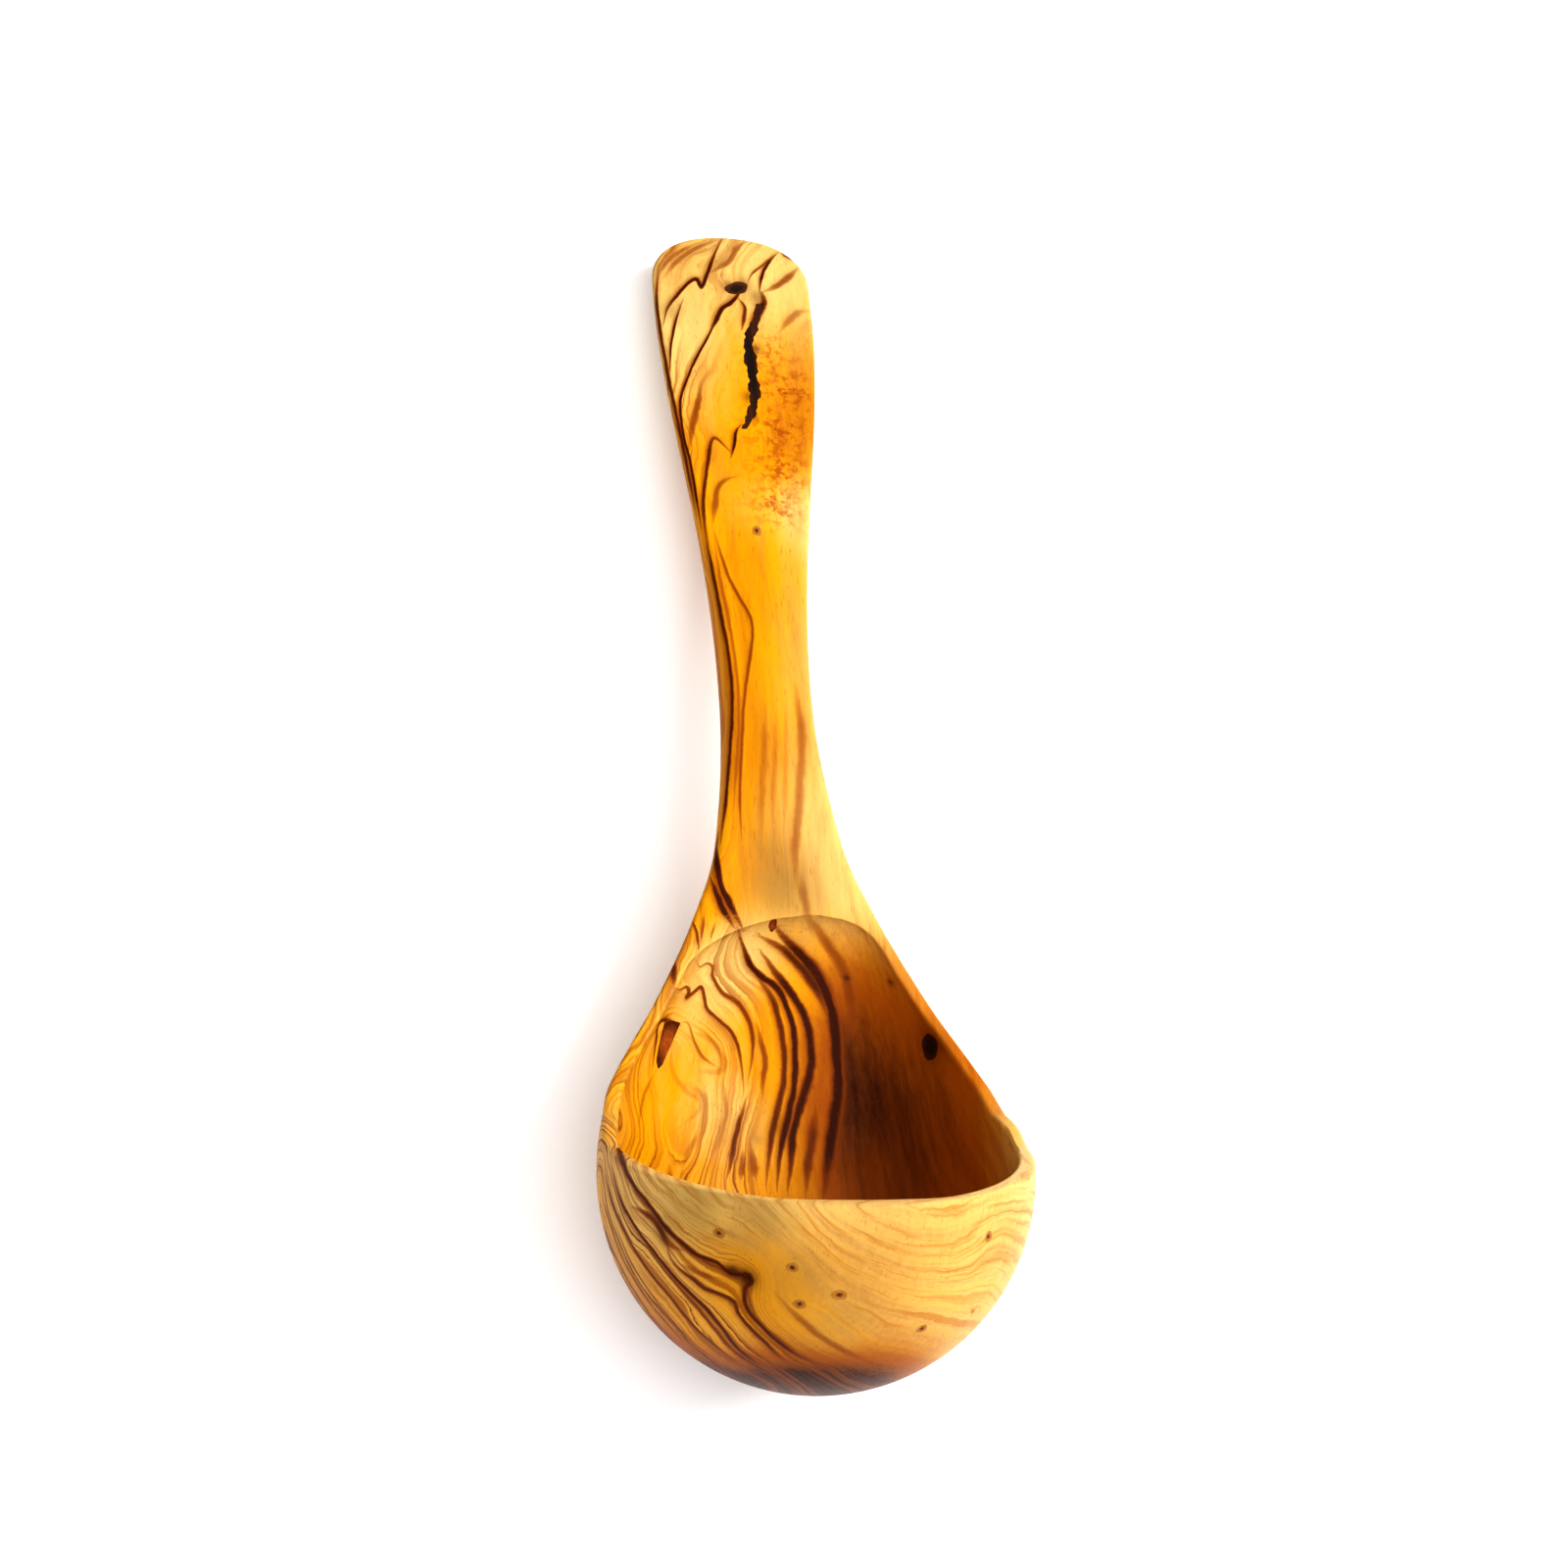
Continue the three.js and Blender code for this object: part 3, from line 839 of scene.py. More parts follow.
@dataclass(frozen=True)
class OliveWood:
    """Oiled olive wood: gold heartwood with dark lines and veins that pales to cream sapwood. Its
    cream also paints a highlight, and its darkest brown paints shade.
    """

    gold: Colour = lit(250, 174, 9)
    # Cream sapwood, and a painted highlight on the hollow's left wall and arch edge.
    cream: Colour = lit(248, 208, 128)
    brown: Colour = lit(188, 104, 10)
    # Darkest brown: dark heartwood, and painted shade under the bowl and on the hollow's right
    # side.
    umber_and_shade: Colour = lit(64, 20, 2)
    vein: Colour = lit(72, 26, 4)
    bleed: Colour = lit(150, 74, 8)
    grey: Colour = lit(172, 136, 72)
    red: Colour = lit(168, 80, 6)
    line_pitch: float = 1.7
    fine_pitch: float = 0.55

    def ground(self, wood: FiguredWood) -> Socket:
        """Ground colour of the wood, streaked from gold to cream and on to brown. Its darkest brown
        also paints shade under the bowl and on the hollow's right side, and its cream paints the
        highlight on the hollow's left.

        Args:
            wood: The figure of the wood.

        Returns:
            The colour.
        """
        blend = wood.shader.blend
        colour = blend((wood.pale + wood.streak * 0.9).ease(0.0, 1.0), self.gold, self.cream)
        depth = wood.brown + wood.streak * 0.8 + wood.grain * 0.35
        colour = blend(depth.ease(0.0, 1.05), colour, self.brown)
        return blend(depth.ease(0.9, 2.0), colour, self.umber_and_shade)

    def growth_lines(self, shader: Shader, level: Socket, pitch: float) -> Socket:
        """Growth lines along the layers, each sharp on one side and fading on the other.

        Args:
            shader: The material's nodes.
            level: Level of the growth layer, with its small wanderings.
            pitch: Levels from one line to the next.

        Returns:
            Darkness of the lines, from 0 to 1.
        """
        year = level * (1 / pitch)
        count = year.floor()
        luck = shader.chance(count)
        fading = (1.0 - (year - count)) ** (1.2 + luck * 6.0)
        return fading * shader.chance(count + 0.5).ease(0.1, 0.8)

    def add_years(self, wood: FiguredWood, colour: Socket) -> Socket:
        """Draws soft bands, fine lines and bold lines along the growth layers.

        Args:
            wood: The figure of the wood.
            colour: Its colour so far.

        Returns:
            The colour with the lines.
        """
        noise, blend = wood.shader.noise, wood.shader.blend
        heart = wood.layer.ease(-3.0, -11.0)
        bands = noise(wood.along(wood.wander * 0.8, 7.0, 7.0), 1.0, 3.0, 0.55).ease(0.47, 0.6)
        patchy = noise(wood.lie, 0.5, 2.0).ease(0.3, 0.62) * 0.6 + 0.4
        bold = self.growth_lines(wood.shader, wood.wander, self.line_pitch)
        bold = bold * heart * wood.lively * patchy
        fine = self.growth_lines(wood.shader, wood.wander + wood.streak * 3.0, self.fine_pitch)
        fine = fine * (0.05 + heart * 0.5) * (1.0 - wood.calm * 0.92)
        colour = blend(bands * heart * wood.lively * 0.7, colour, self.bleed)
        colour = blend(fine * 0.5, colour, self.bleed)
        colour = blend(bold.ease(0.0, 0.7) * 0.9, colour, self.bleed)
        return blend(bold.ease(0.3, 0.8) * 0.9, colour, self.vein)

    def add_stains(self, wood: FiguredWood, colour: Socket) -> Socket:
        """Adds brown flecks to the sapwood, and the grey and red stains.

        Args:
            wood: The figure of the wood.
            colour: Its colour so far.

        Returns:
            The colour with the stains.
        """
        noise, blend = wood.shader.noise, wood.shader.blend
        fleck = noise(wood.along(wood.wander * 0.9, 70.0, 70.0), 1.0, 3.0, 0.6).ease(0.46, 0.68)
        fleck = fleck * wood.pale.ease(0.3, 0.7) * wood.lively
        mottle = noise(wood.place, 480.0, 5.0, 0.7).ease(0.44, 0.62)
        colour = blend(fleck * 0.55, colour, self.brown)
        colour = blend(wood.grey * (0.75 + wood.streak), colour, self.grey)
        return blend(wood.red * mottle, colour, self.red)

    def add_veins(
        self, wood: FiguredWood, colour: Socket, families: int
    ) -> tuple[Socket, Socket]:
        """Draws the veins, each with a brown fade on its left, and the dark stains.

        Args:
            wood: The figure of the wood.
            colour: Its colour so far.
            families: Number of families the veins are painted in.

        Returns:
            The colour with the veins, and how far each place is in a vein, from 0 to 1.
        """
        blend = wood.shader.blend
        swell = 0.5 + wood.shader.noise(wood.place, 110.0, 2.0)
        mask: Value = 0.0
        halo: Value = 0.0
        for i in range(families):
            line, force, _ = wood.shader.triple(f"vein_{i}")
            off = line * swell + wood.fray * 1.3
            mask = (force * abs(off).ease(1.5, 0.35)).most(mask)
            halo = (force * off.ease(-6.0, 0.0) * off.ease(1.4, -0.3)).most(halo)
        colour = blend(halo.ease(0.0, 0.9) * 0.75, colour, self.bleed)
        colour = blend(mask.ease(0.0, 0.55) * 0.85, colour, self.bleed)
        colour = blend(mask.ease(0.4, 0.85) * 0.95, colour, self.vein)
        return blend(wood.dark, colour, self.vein), mask

    def dress(self, families: int) -> bpy.types.Material:
        """Makes the material, which reads the figure painted on the body.

        Args:
            families: Number of families the veins are painted in.

        Returns:
            The material.
        """
        shader = Shader("olive_wood")
        wood = FiguredWood(shader)
        colour = self.add_stains(wood, self.add_years(wood, self.ground(wood)))
        colour, mask = self.add_veins(wood, colour, families)
        pores = wood.fibre((2600.0, 240.0, 2600.0), 2.0, 0.5).ease(0.1, 0.24)
        return shader.surface(
            Base_Color=shader.blend(pores * 0.3, colour, self.bleed),
            Roughness=0.42 + wood.grain * 0.16 + mask * 0.08 + pores * 0.1,
            Coat_Weight=0.05,
            Coat_Roughness=0.3,
            Specular_IOR_Level=0.06,
            Normal=shader.bump(wood.grain * 0.5 - pores * 0.6, 0.35, 0.00012),
        )


@dataclass(frozen=True)
class GrownWood:
    """The wood of a knot, or bark: a heart that darkens or pales towards its border."""

    name: str
    slot: str
    heart: Colour
    border: Colour
    roughness: float
    recess: float = 0.08
    core: float = 0.35

    def dress(self) -> bpy.types.Material:
        """Makes the material, which reads the rings painted on the growth.

        Returns:
            The material.
        """
        shader = Shader(self.name)
        place = shader.place()
        ring = shader.number("ring")
        rough = shader.noise(place, 700.0, 4.0, 0.65)
        year = (ring * 21.0 + rough * 7.0).sine() * 0.5 + 0.5
        share = ring + (rough - 0.5) * 0.7
        colour = shader.blend(share.ease(self.core, self.core + 0.7), self.heart, self.border)
        shade = tuple(0.45 * value for value in self.heart[:3]) + (1.0,)
        colour = shader.blend(year * 0.35, colour, shade)
        height = rough + year * 0.3
        return shader.surface(
            Base_Color=colour,
            Roughness=self.roughness + (rough - 0.5) * 0.2,
            Specular_IOR_Level=0.2,
            Normal=shader.bump(height, 0.6, 0.0003),
        )


class Growth(Enum):
    """Kinds of growth in the wood, each with its finish."""

    BARK = GrownWood("bark", "bark", lit(34, 16, 6), lit(84, 40, 10), 0.8, 0.3)
    HEAD = GrownWood("head_bark", "bark", lit(46, 22, 8), lit(110, 56, 12), 0.72, 0.2)
    SPIKE = GrownWood("spike_knot_wood", "knot_wood", lit(176, 92, 30), lit(76, 30, 8), 0.5)
    ROUND = GrownWood("round_knot_wood", "knot_wood", lit(40, 16, 4), lit(84, 36, 6), 0.55)
    RIM = GrownWood("rim_knot_wood", "knot_wood", lit(170, 84, 36), lit(120, 50, 16), 0.5)
    PIN = GrownWood("pin_knot_wood", "knot_wood", lit(96, 40, 8), lit(214, 146, 54), 0.5, 0.04, 0.1)


@dataclass(frozen=True)
class ViewPoint:
    """The camera, with its principal point in the middle of a square picture."""

    azimuth: float = -32.99005
    elevation: float = 66.67231
    roll: float = 31.86534
    aim: tuple[float, float, float] = (0.9963, 87.5532, 30.0)
    distance: float = 835.854
    lens: float = 91.7095
    sensor: float = 36.0
    picture: float = 1600.0

    def axes(self) -> tuple[Vector, Vector, Vector]:
        """Directions to the right, up and back of the camera.

        Returns:
            The three directions, each one metre long.
        """
        a, e, r = (math.radians(v) for v in (self.azimuth, self.elevation, self.roll))
        back = Vector((math.sin(a) * math.cos(e), -math.cos(a) * math.cos(e), math.sin(e)))
        level = Vector((math.cos(a), math.sin(a), 0))
        rise = back.cross(level)
        right = math.cos(r) * level + math.sin(r) * rise
        up = math.cos(r) * rise - math.sin(r) * level
        return right, up, back

    def stand(self) -> Vector:
        """Place of the camera, in metres."""
        return (Vector(self.aim) + self.axes()[2] * self.distance) * MM

    def ray(self, pixel: Pixel) -> Vector:
        """Direction in which the camera sees a pixel.

        Args:
            pixel: The pixel.

        Returns:
            The direction away from the camera.
        """
        right, up, back = self.axes()
        focal = self.lens / self.sensor * self.picture
        x = (pixel[0] - self.picture / 2) / focal
        y = (self.picture / 2 - pixel[1]) / focal
        return (right * x + up * y - back).normalized()

    def set_up(self) -> None:
        """Puts up the camera and makes it the scene's own."""
        Bench.clear()
        bpy.ops.object.camera_add(location=self.stand())
        camera = bpy.context.object
        right, up, back = self.axes()
        turn = Matrix((right, up, back)).transposed().to_4x4()
        camera.matrix_world = Matrix.Translation(self.stand()) @ turn
        camera.data.lens = self.lens
        camera.data.sensor_width = self.sensor
        camera.data.clip_start, camera.data.clip_end = 0.01, 20.0
        bpy.context.scene.camera = camera


@dataclass(frozen=True)
class Vein:
    """A dark line in the wood, drawn through pixels, with the level of the growth layer it follows.

    A vein without a level crosses the layers, and one without force only guides them.
    """

    level: Union[float, None]
    half_width: float
    force: float
    points: tuple[Pixel, ...]

    def smooth(self, steps: int = 6) -> list[Pixel]:
        """Pixels of a smooth line through the vein's points.

        Args:
            steps: Steps from one point to the next.

        Returns:
            The line's pixels, in order.
        """
        points = np.array(self.points, float)
        padded = np.concatenate([points[:1], points, points[-1:]])
        line = []
        for i in range(1, len(padded) - 2):
            a, b, c, d = padded[i - 1 : i + 3]
            for t in np.arange(steps) / steps:
                curve = 2 * b + (c - a) * t + (2 * a - 5 * b + 4 * c - d) * t**2
                line.append(tuple(0.5 * (curve + (3 * b - a - 3 * c + d) * t**3)))
        return [*line, tuple(points[-1])]


@dataclass(frozen=True)
class Tone:
    """Colour of the wood about a pixel: how pale and how brown it is; 0 for both is plain gold.
    Some tones paint highlights with their paleness, and some paint shade with their brownness.
    """

    pixel: Pixel
    pale: float
    brown: float


class Stain(Enum):
    """What a spot does to the wood: stains it, or calms its growth lines."""

    DARK = 0
    GREY = 1
    RED = 2
    CALM = 3


@dataclass(frozen=True)
class Spot:
    """A stained or calm place about a pixel, with its reach in millimetres."""

    pixel: Pixel
    reach: float
    force: float


@dataclass(frozen=True)
class ShadedHeart:
    """Darker wood about a pixel, where the growth layers lie above a level: partly darker
    heartwood, partly painted shade.
    """

    pixel: Pixel
    reach: float
    brown: float
    level: float
    blur: float = 1.2


# Veins in the hollow, from the middle towards its left side.
HOLLOW_VEINS = (
    Vein(4, 1.6, 0.45, (
        (872, 1060), (869, 1030), (865, 1007), (859, 987), (847, 968), (834, 949), (819, 934),
    )),
    Vein(0, 1.52, 0.9, (
        (841, 1219), (847, 1169), (855, 1112), (854, 1083), (852, 1054), (848, 1030), (841, 1008),
        (830, 989), (815, 973), (801, 959), (789, 943),
    )),
    Vein(-1.2, 1.2, 0.75, (
        (775, 955), (796, 966), (807, 976), (819, 989), (832, 1007), (840, 1022), (846, 1041),
    )),
    Vein(-2, 1.28, 0.65, ((832, 1131), (829, 1160), (825, 1188), (823, 1215))),
    Vein(-3.2, 1.04, 0.85, (
        (777, 972), (790, 989), (801, 1005), (813, 1022), (822, 1041), (827, 1064), (828, 1083),
        (825, 1102), (819, 1121), (813, 1141), (809, 1160), (807, 1188), (804, 1215),
    )),
    Vein(-5.2, 0.8, 0.85, (
        (753, 949), (759, 968), (766, 986), (778, 997), (792, 1007), (801, 1024), (809, 1045),
        (811, 1074), (811, 1102), (807, 1127), (800, 1160), (796, 1179), (793, 1213),
    )),
    Vein(-7, 0.8, 0.7, (
        (768, 989), (778, 1004), (788, 1020), (796, 1045), (800, 1074), (800, 1102), (794, 1131),
        (788, 1156), (784, 1188), (782, 1211),
    )),
    Vein(-10.5, 0.72, 0.5, ((772, 1043), (777, 1064), (781, 1083), (779, 1102), (778, 1121))),
    Vein(-12.5, 0.5, 0.6, (
        (711, 980), (714, 987), (721, 983), (728, 987), (727, 995), (736, 1012), (750, 1021),
        (761, 1034), (768, 1058), (767, 1083), (763, 1106),
    )),
    Vein(-15.5, 0.45, 0.65, (
        (688, 1008), (694, 1010), (700, 1007), (704, 1011), (700, 1018), (708, 1012), (716, 1007),
        (719, 1020), (722, 1030), (735, 1042), (747, 1054), (754, 1072), (758, 1097), (759, 1112),
    )),
    Vein(-13, 0.72, 0.7, (
        (761, 1121), (758, 1133), (753, 1150), (749, 1169), (745, 1190), (741, 1204),
    )),
    Vein(None, 1.28, 0.45, ((767, 1171), (769, 1188), (772, 1204))),
    Vein(None, 0.8, 0.45, ((758, 1173), (757, 1188), (756, 1206))),
    Vein(-24, 0.8, 0.25, ((704, 1052), (723, 1060), (738, 1079), (736, 1093), (711, 1093))),
    Vein(-19, 0.64, 0.3, ((737, 1095), (739, 1114), (741, 1137), (734, 1160), (723, 1200))),
    Vein(-26, 0.96, 0.28, ((700, 1106), (719, 1121), (717, 1150), (711, 1179))),
    Vein(-28, 0.8, 0.22, ((686, 1056), (686, 1091), (700, 1112), (717, 1128), (688, 1155))),
    Vein(None, 0.8, 0.3, ((651, 1153), (657, 1118), (669, 1093))),
    Vein(None, 0.5, 0.75, ((694, 1046), (674, 1042), (669, 1066), (666, 1090))),
    Vein(None, 0.35, 0.4, ((692, 1044), (702, 1044), (708, 1061), (717, 1078), (736, 1092))),
    Vein(None, 0.8, 0.28, ((694, 1198), (702, 1177), (717, 1148))),
)
# Veins outside the bowl, from the front wall towards its left side.
WALL_VEINS = (
    Vein(15, 0.58, 0, ((841, 1253), (875, 1273), (924, 1294), (982, 1293), (1016, 1273))),
    Vein(6, 0.58, 0, ((833, 1279), (883, 1313), (941, 1334), (999, 1339))),
    Vein(-4, 0.81, 0.37, ((790, 1318), (815, 1345), (850, 1372), (890, 1392))),
    Vein(-12, 0.58, 0.75, (
        (631, 1166), (634, 1181), (640, 1198), (650, 1214), (660, 1226), (672, 1243), (686, 1260),
        (698, 1270), (712, 1281), (731, 1288), (743, 1298), (755, 1301), (762, 1301), (767, 1307),
        (761, 1315), (760, 1327), (765, 1339), (777, 1353), (794, 1369), (815, 1384), (841, 1394),
    )),
    Vein(-14, 0.87, 0.66, (
        (646, 1231), (659, 1238), (669, 1247), (676, 1258), (681, 1269), (696, 1276),
    )),
    Vein(None, 0.7, 0.35, ((691, 1288), (707, 1296), (724, 1303), (738, 1305))),
    Vein(-17, 0.58, 0.7, (
        (681, 1269), (683, 1281), (693, 1295), (707, 1305), (720, 1315), (738, 1322), (750, 1329),
        (753, 1339), (764, 1353), (781, 1370), (798, 1386), (815, 1396),
    )),
    Vein(-24, 0.58, 0.75, (
        (624, 1190), (628, 1207), (634, 1226), (645, 1246), (659, 1267), (674, 1286), (690, 1305),
        (707, 1322), (724, 1339), (738, 1357), (751, 1374), (772, 1391), (793, 1403),
    )),
    Vein(-26, 0.46, 0.53, ((665, 1275), (692, 1312), (722, 1347), (752, 1382), (775, 1400))),
    Vein(-28, 0.52, 0.66, (
        (617, 1184), (619, 1205), (626, 1231), (636, 1253), (650, 1279), (665, 1301), (683, 1322),
        (696, 1339), (712, 1357), (731, 1374), (750, 1389), (765, 1398),
    )),
    Vein(-31, 0.46, 0.48, ((626, 1245), (645, 1290), (672, 1330), (705, 1368), (735, 1392))),
    Vein(-34, 0.46, 0.53, (
        (614, 1193), (615, 1222), (624, 1253), (634, 1281), (650, 1310), (665, 1332), (683, 1353),
        (696, 1367), (714, 1382),
    )),
)
# Veins in the head of the handle.
HEAD_VEINS = (
    Vein(-12, 0.55, 0.95, ((758, 293), (747, 308), (737, 315), (730, 328), (723, 342))),
    Vein(-12, 0.32, 0.95, (
        (736, 317), (719, 350), (708, 370), (698, 395), (694, 410), (695, 426), (698, 448),
        (704, 470), (710, 504), (716, 540),
    )),
    Vein(-15, 0.45, 0.85, (
        (738, 242), (730, 257), (723, 276), (716, 294), (711, 285), (702, 289), (691, 301),
        (681, 315), (677, 332),
    )),
    Vein(-17, 0.32, 0.85, ((697, 305), (690, 326), (685, 350), (684, 366), (684, 384))),
    Vein(-19, 0.4, 0.75, ((672, 276), (670, 306), (675, 345), (684, 394), (696, 451), (711, 528))),
    Vein(-12, 0.8, 0.42, ((771, 245), (755, 250), (747, 263), (739, 270), (724, 279))),
    Vein(-16, 0.8, 0.4, ((733, 245), (708, 254), (688, 270), (677, 284))),
    Vein(-18, 0.7, 0.4, ((714, 247), (692, 258), (677, 272), (671, 284))),
    Vein(-4, 0.42, 0.85, ((796, 256), (784, 268), (777, 283), (775, 298))),
    Vein(-6, 0.35, 0.6, ((791, 258), (779, 270), (768, 279), (763, 289))),
    Vein(-1, 0.75, 0.5, ((815, 273), (802, 285), (790, 293), (779, 298))),
    Vein(None, 0.5, 0.5, ((795, 257), (806, 264), (814, 270))),
    Vein(1, 1, 0.36, ((829, 317), (815, 319), (804, 329), (796, 339))),
    Vein(None, 0.9, 0.8, ((776, 297), (780, 308), (773, 322), (764, 338))),
    Vein(None, 0.4, 0.7, ((752, 303), (760, 313), (759, 326), (757, 338))),
    Vein(-4, 0.38, 0.85, ((757, 433), (751, 440), (749, 455), (746, 468))),
    Vein(-8, 0.45, 0.75, (
        (747, 463), (734, 450), (728, 447), (724, 457), (722, 475), (718, 503), (719, 535),
        (724, 558),
    )),
    Vein(-10, 0.9, 0.5, ((716, 392), (711, 417), (706, 439), (704, 458))),
    Vein(-6, 0.8, 0.45, ((752, 486), (738, 491), (731, 503), (728, 535))),
)
# Veins down the handle to the shoulder.
HANDLE_VEINS = (
    Vein(-15, 0.45, 0.75, (
        (718, 540), (727, 582), (735, 624), (743, 666), (747, 708), (746, 750), (741, 813),
        (735, 862),
    )),
    Vein(-12, 0.4, 0.35, (
        (728, 545), (735, 590), (745, 640), (752, 690), (754, 740), (751, 790), (748, 830),
    )),
    Vein(-9, 0.4, 0.5, (
        (728, 540), (741, 582), (753, 607), (765, 628), (768, 645), (766, 666), (760, 708),
        (757, 758), (755, 809), (757, 859),
    )),
    Vein(3, 1.3, 0.36, ((812, 700), (818, 750), (816, 809), (812, 859), (813, 905))),
    Vein(-5, 0.9, 0.24, ((781, 716), (780, 760), (778, 810), (777, 860))),
    Vein(-2, 0.7, 0.22, ((792, 720), (791, 780), (788, 840))),
    Vein(0, 0.7, 0.2, ((802, 706), (802, 770), (800, 850))),
    Vein(4, 1, 0.3, ((829, 955), (822, 925), (816, 890))),
    Vein(-12, 0.8, 1, ((733, 850), (731, 874), (736, 904), (746, 925), (758, 948))),
    Vein(-13, 0.75, 0.95, ((725, 895), (731, 911), (738, 928), (749, 946))),
    Vein(None, 1.2, 0.45, ((729, 884), (733, 906), (742, 926), (754, 948))),
    Vein(-16, 0.35, 0.65, ((710, 926), (707, 940), (711, 951), (713, 971))),
    Vein(-15, 0.35, 0.5, ((719, 932), (717, 948), (714, 962))),
    Vein(-14, 0.3, 0.4, ((731, 940), (727, 951), (724, 961))),
    Vein(-18, 0.6, 0.7, ((692, 966), (688, 988), (687, 1005))),
)
VEINS = (*HOLLOW_VEINS, *WALL_VEINS, *HEAD_VEINS, *HANDLE_VEINS)
TONES_AND_PAINTED_LIGHT = (
    # Head of the handle.
    Tone((690, 266), 0.7, 0.2),
    Tone((765, 272), 0.9, 0.0),
    Tone((695, 350), 1.1, 0.0),
    Tone((744, 356), 0.35, 0.0),
    Tone((735, 420), 0.25, 0.0),
    Tone((800, 312), 0.8, 0.1),
    Tone((822, 338), 0.6, 0.35),
    Tone((797, 410), 0.1, 0.55),
    Tone((798, 480), 0.1, 0.45),
    Tone((821, 523), 1.0, 0.0),
    Tone((749, 511), 0.2, 0.1),
    Tone((782, 560), 0.1, 0.35),
    Tone((708, 450), 0.2, 0.3),
    # Handle and shoulder.
    Tone((790, 640), 0.2, 0.4),
    Tone((822, 650), 0.5, 0.3),
    Tone((760, 700), 0.05, 0.4),
    Tone((790, 770), 0.25, 0.45),
    Tone((833, 800), 0.8, 0.25),
    Tone((758, 850), 0.1, 0.35),
    Tone((800, 890), 0.5, 0.6),
    Tone((857, 890), 1.2, 0.05),
    Tone((748, 915), 0.0, 0.2),
    Tone((712, 940), 0.0, 0.3),
    # Hollow.
    Tone((655, 1040), 0.05, 0.1),
    Tone((690, 1120), 0.2, 0.0),
    Tone((650, 1150), 0.1, 0.0),
    Tone((700, 1185), 0.2, 0.0),
    Tone((725, 1060), 0.4, 0.0),
    # Pale tones from here to (752, 995): partly cream wood, partly a painted highlight down the
    # hollow's left wall and along the arch's left edge.
    Tone((748, 1130), 0.8, 0.0),
    Tone((738, 966), 1.1, 0.0),
    Tone((752, 995), 1.0, 0.0),
    Tone((770, 1025), 0.3, 0.05),
    Tone((788, 1100), 0.0, 0.0),
    Tone((815, 1010), 0.0, 0.1),
    Tone((804, 1190), 0.1, 0.2),
    # Brown tones of 0.85 and more from here to (960, 1190): partly darker heartwood, partly painted
    # shade on the hollow's right side.
    Tone((838, 1060), 0.0, 0.95),
    Tone((838, 1120), 0.0, 0.95),
    Tone((832, 1180), 0.0, 0.85),
    Tone((870, 990), 0.2, 0.5),
    Tone((900, 1080), 0.0, 0.85),
    Tone((935, 1125), 0.0, 0.9),
    Tone((868, 1115), 0.0, 1.0),
    Tone((935, 1010), 0.5, 0.3),
    Tone((875, 1185), 0.0, 0.85),
    Tone((960, 1190), 0.0, 0.95),
    Tone((1015, 1170), 0.4, 0.3),
    # Outside of the bowl.
    Tone((645, 1240), 0.8, 0.1),
    Tone((700, 1330), 0.4, 0.05),
    Tone((765, 1290), 0.1, 0.2),
    Tone((740, 1375), 0.3, 0.4),
    Tone((760, 1235), 0.9, 0.2),
    Tone((880, 1245), 0.8, 0.3),
    Tone((965, 1255), 0.8, 0.3),
    Tone((1040, 1235), 0.9, 0.35),
    Tone((1046, 1200), 1.4, 0.0),
    Tone((1000, 1300), 0.8, 0.2),
    Tone((880, 1310), 0.7, 0.45),
    Tone((850, 1375), 0.4, 0.5),
    Tone((940, 1365), 0.6, 0.4),
    # Brown tones from here to (905, 1402) paint shade: the bowl darkens towards its underside where
    # it nears the table.
    Tone((700, 1385), 0.1, 1.0),
    Tone((770, 1408), 0.0, 2.3),
    Tone((840, 1412), 0.0, 2.7),
    Tone((905, 1402), 0.1, 1.6),
    Tone((965, 1380), 0.5, 0.35),
)
# The hollow's right side beyond its main growth line: partly darker heartwood, partly painted shade
# of the key lamp's shadow.
SHADED_HEARTS = (ShadedHeart((905, 1120), 28.0, 0.75, -0.4),)
# Stains and calm places of the wood.
SPOTS = {
    Stain.DARK: (
        Spot((952, 1065), 4.0, 0.55),
        Spot((711, 927), 1.3, 0.6),
        Spot((797, 1150), 2.6, 0.4),
        Spot((909, 1003), 0.7, 0.9),
        Spot((864, 998), 0.6, 0.9),
        Spot((748, 1298), 1.6, 0.8),
        Spot((763, 1304), 2.0, 0.9),
        Spot((676, 1254), 2.2, 0.5),
        Spot((758, 291), 2.2, 0.6),
        Spot((744, 291), 1.4, 0.6),
        Spot((772, 303), 2.4, 0.5),
        Spot((771, 356), 1.6, 0.6),
        Spot((764, 405), 1.8, 0.6),
        Spot((768, 425), 1.5, 0.5),
        Spot((684, 316), 3.0, 0.35),
    ),
    Stain.GREY: (
        Spot((773, 1163), 1.3, 0.7),
        Spot((715, 1225), 8.0, 0.7),
        Spot((775, 1245), 9.0, 0.8),
        Spot((880, 1290), 14.0, 0.4),
        Spot((815, 1300), 9.0, 0.7),
        Spot((860, 1345), 8.0, 0.5),
        Spot((790, 872), 7.0, 0.7),
        Spot((800, 905), 9.0, 1.0),
    ),
    Stain.RED: (
        Spot((992, 1340), 2.5, 0.8),
        Spot((785, 365), 6.0, 0.7),
        Spot((803, 400), 7.0, 0.85),
        Spot((795, 440), 8.0, 0.85),
        Spot((798, 478), 7.0, 0.85),
        Spot((792, 515), 6.0, 0.85),
    ),
    Stain.CALM: (
        Spot((815, 1080), 18.0, 0.85),
        Spot((704, 1032), 9.0, 0.9),
        Spot((690, 1110), 16.0, 1.0),
        Spot((720, 330), 14.0, 1.0),
        Spot((790, 290), 14.0, 1.0),
        Spot((770, 440), 16.0, 1.0),
        Spot((770, 560), 24.0, 1.0),
        Spot((785, 680), 24.0, 1.0),
        Spot((790, 790), 24.0, 1.0),
        Spot((800, 890), 22.0, 1.0),
    ),
}


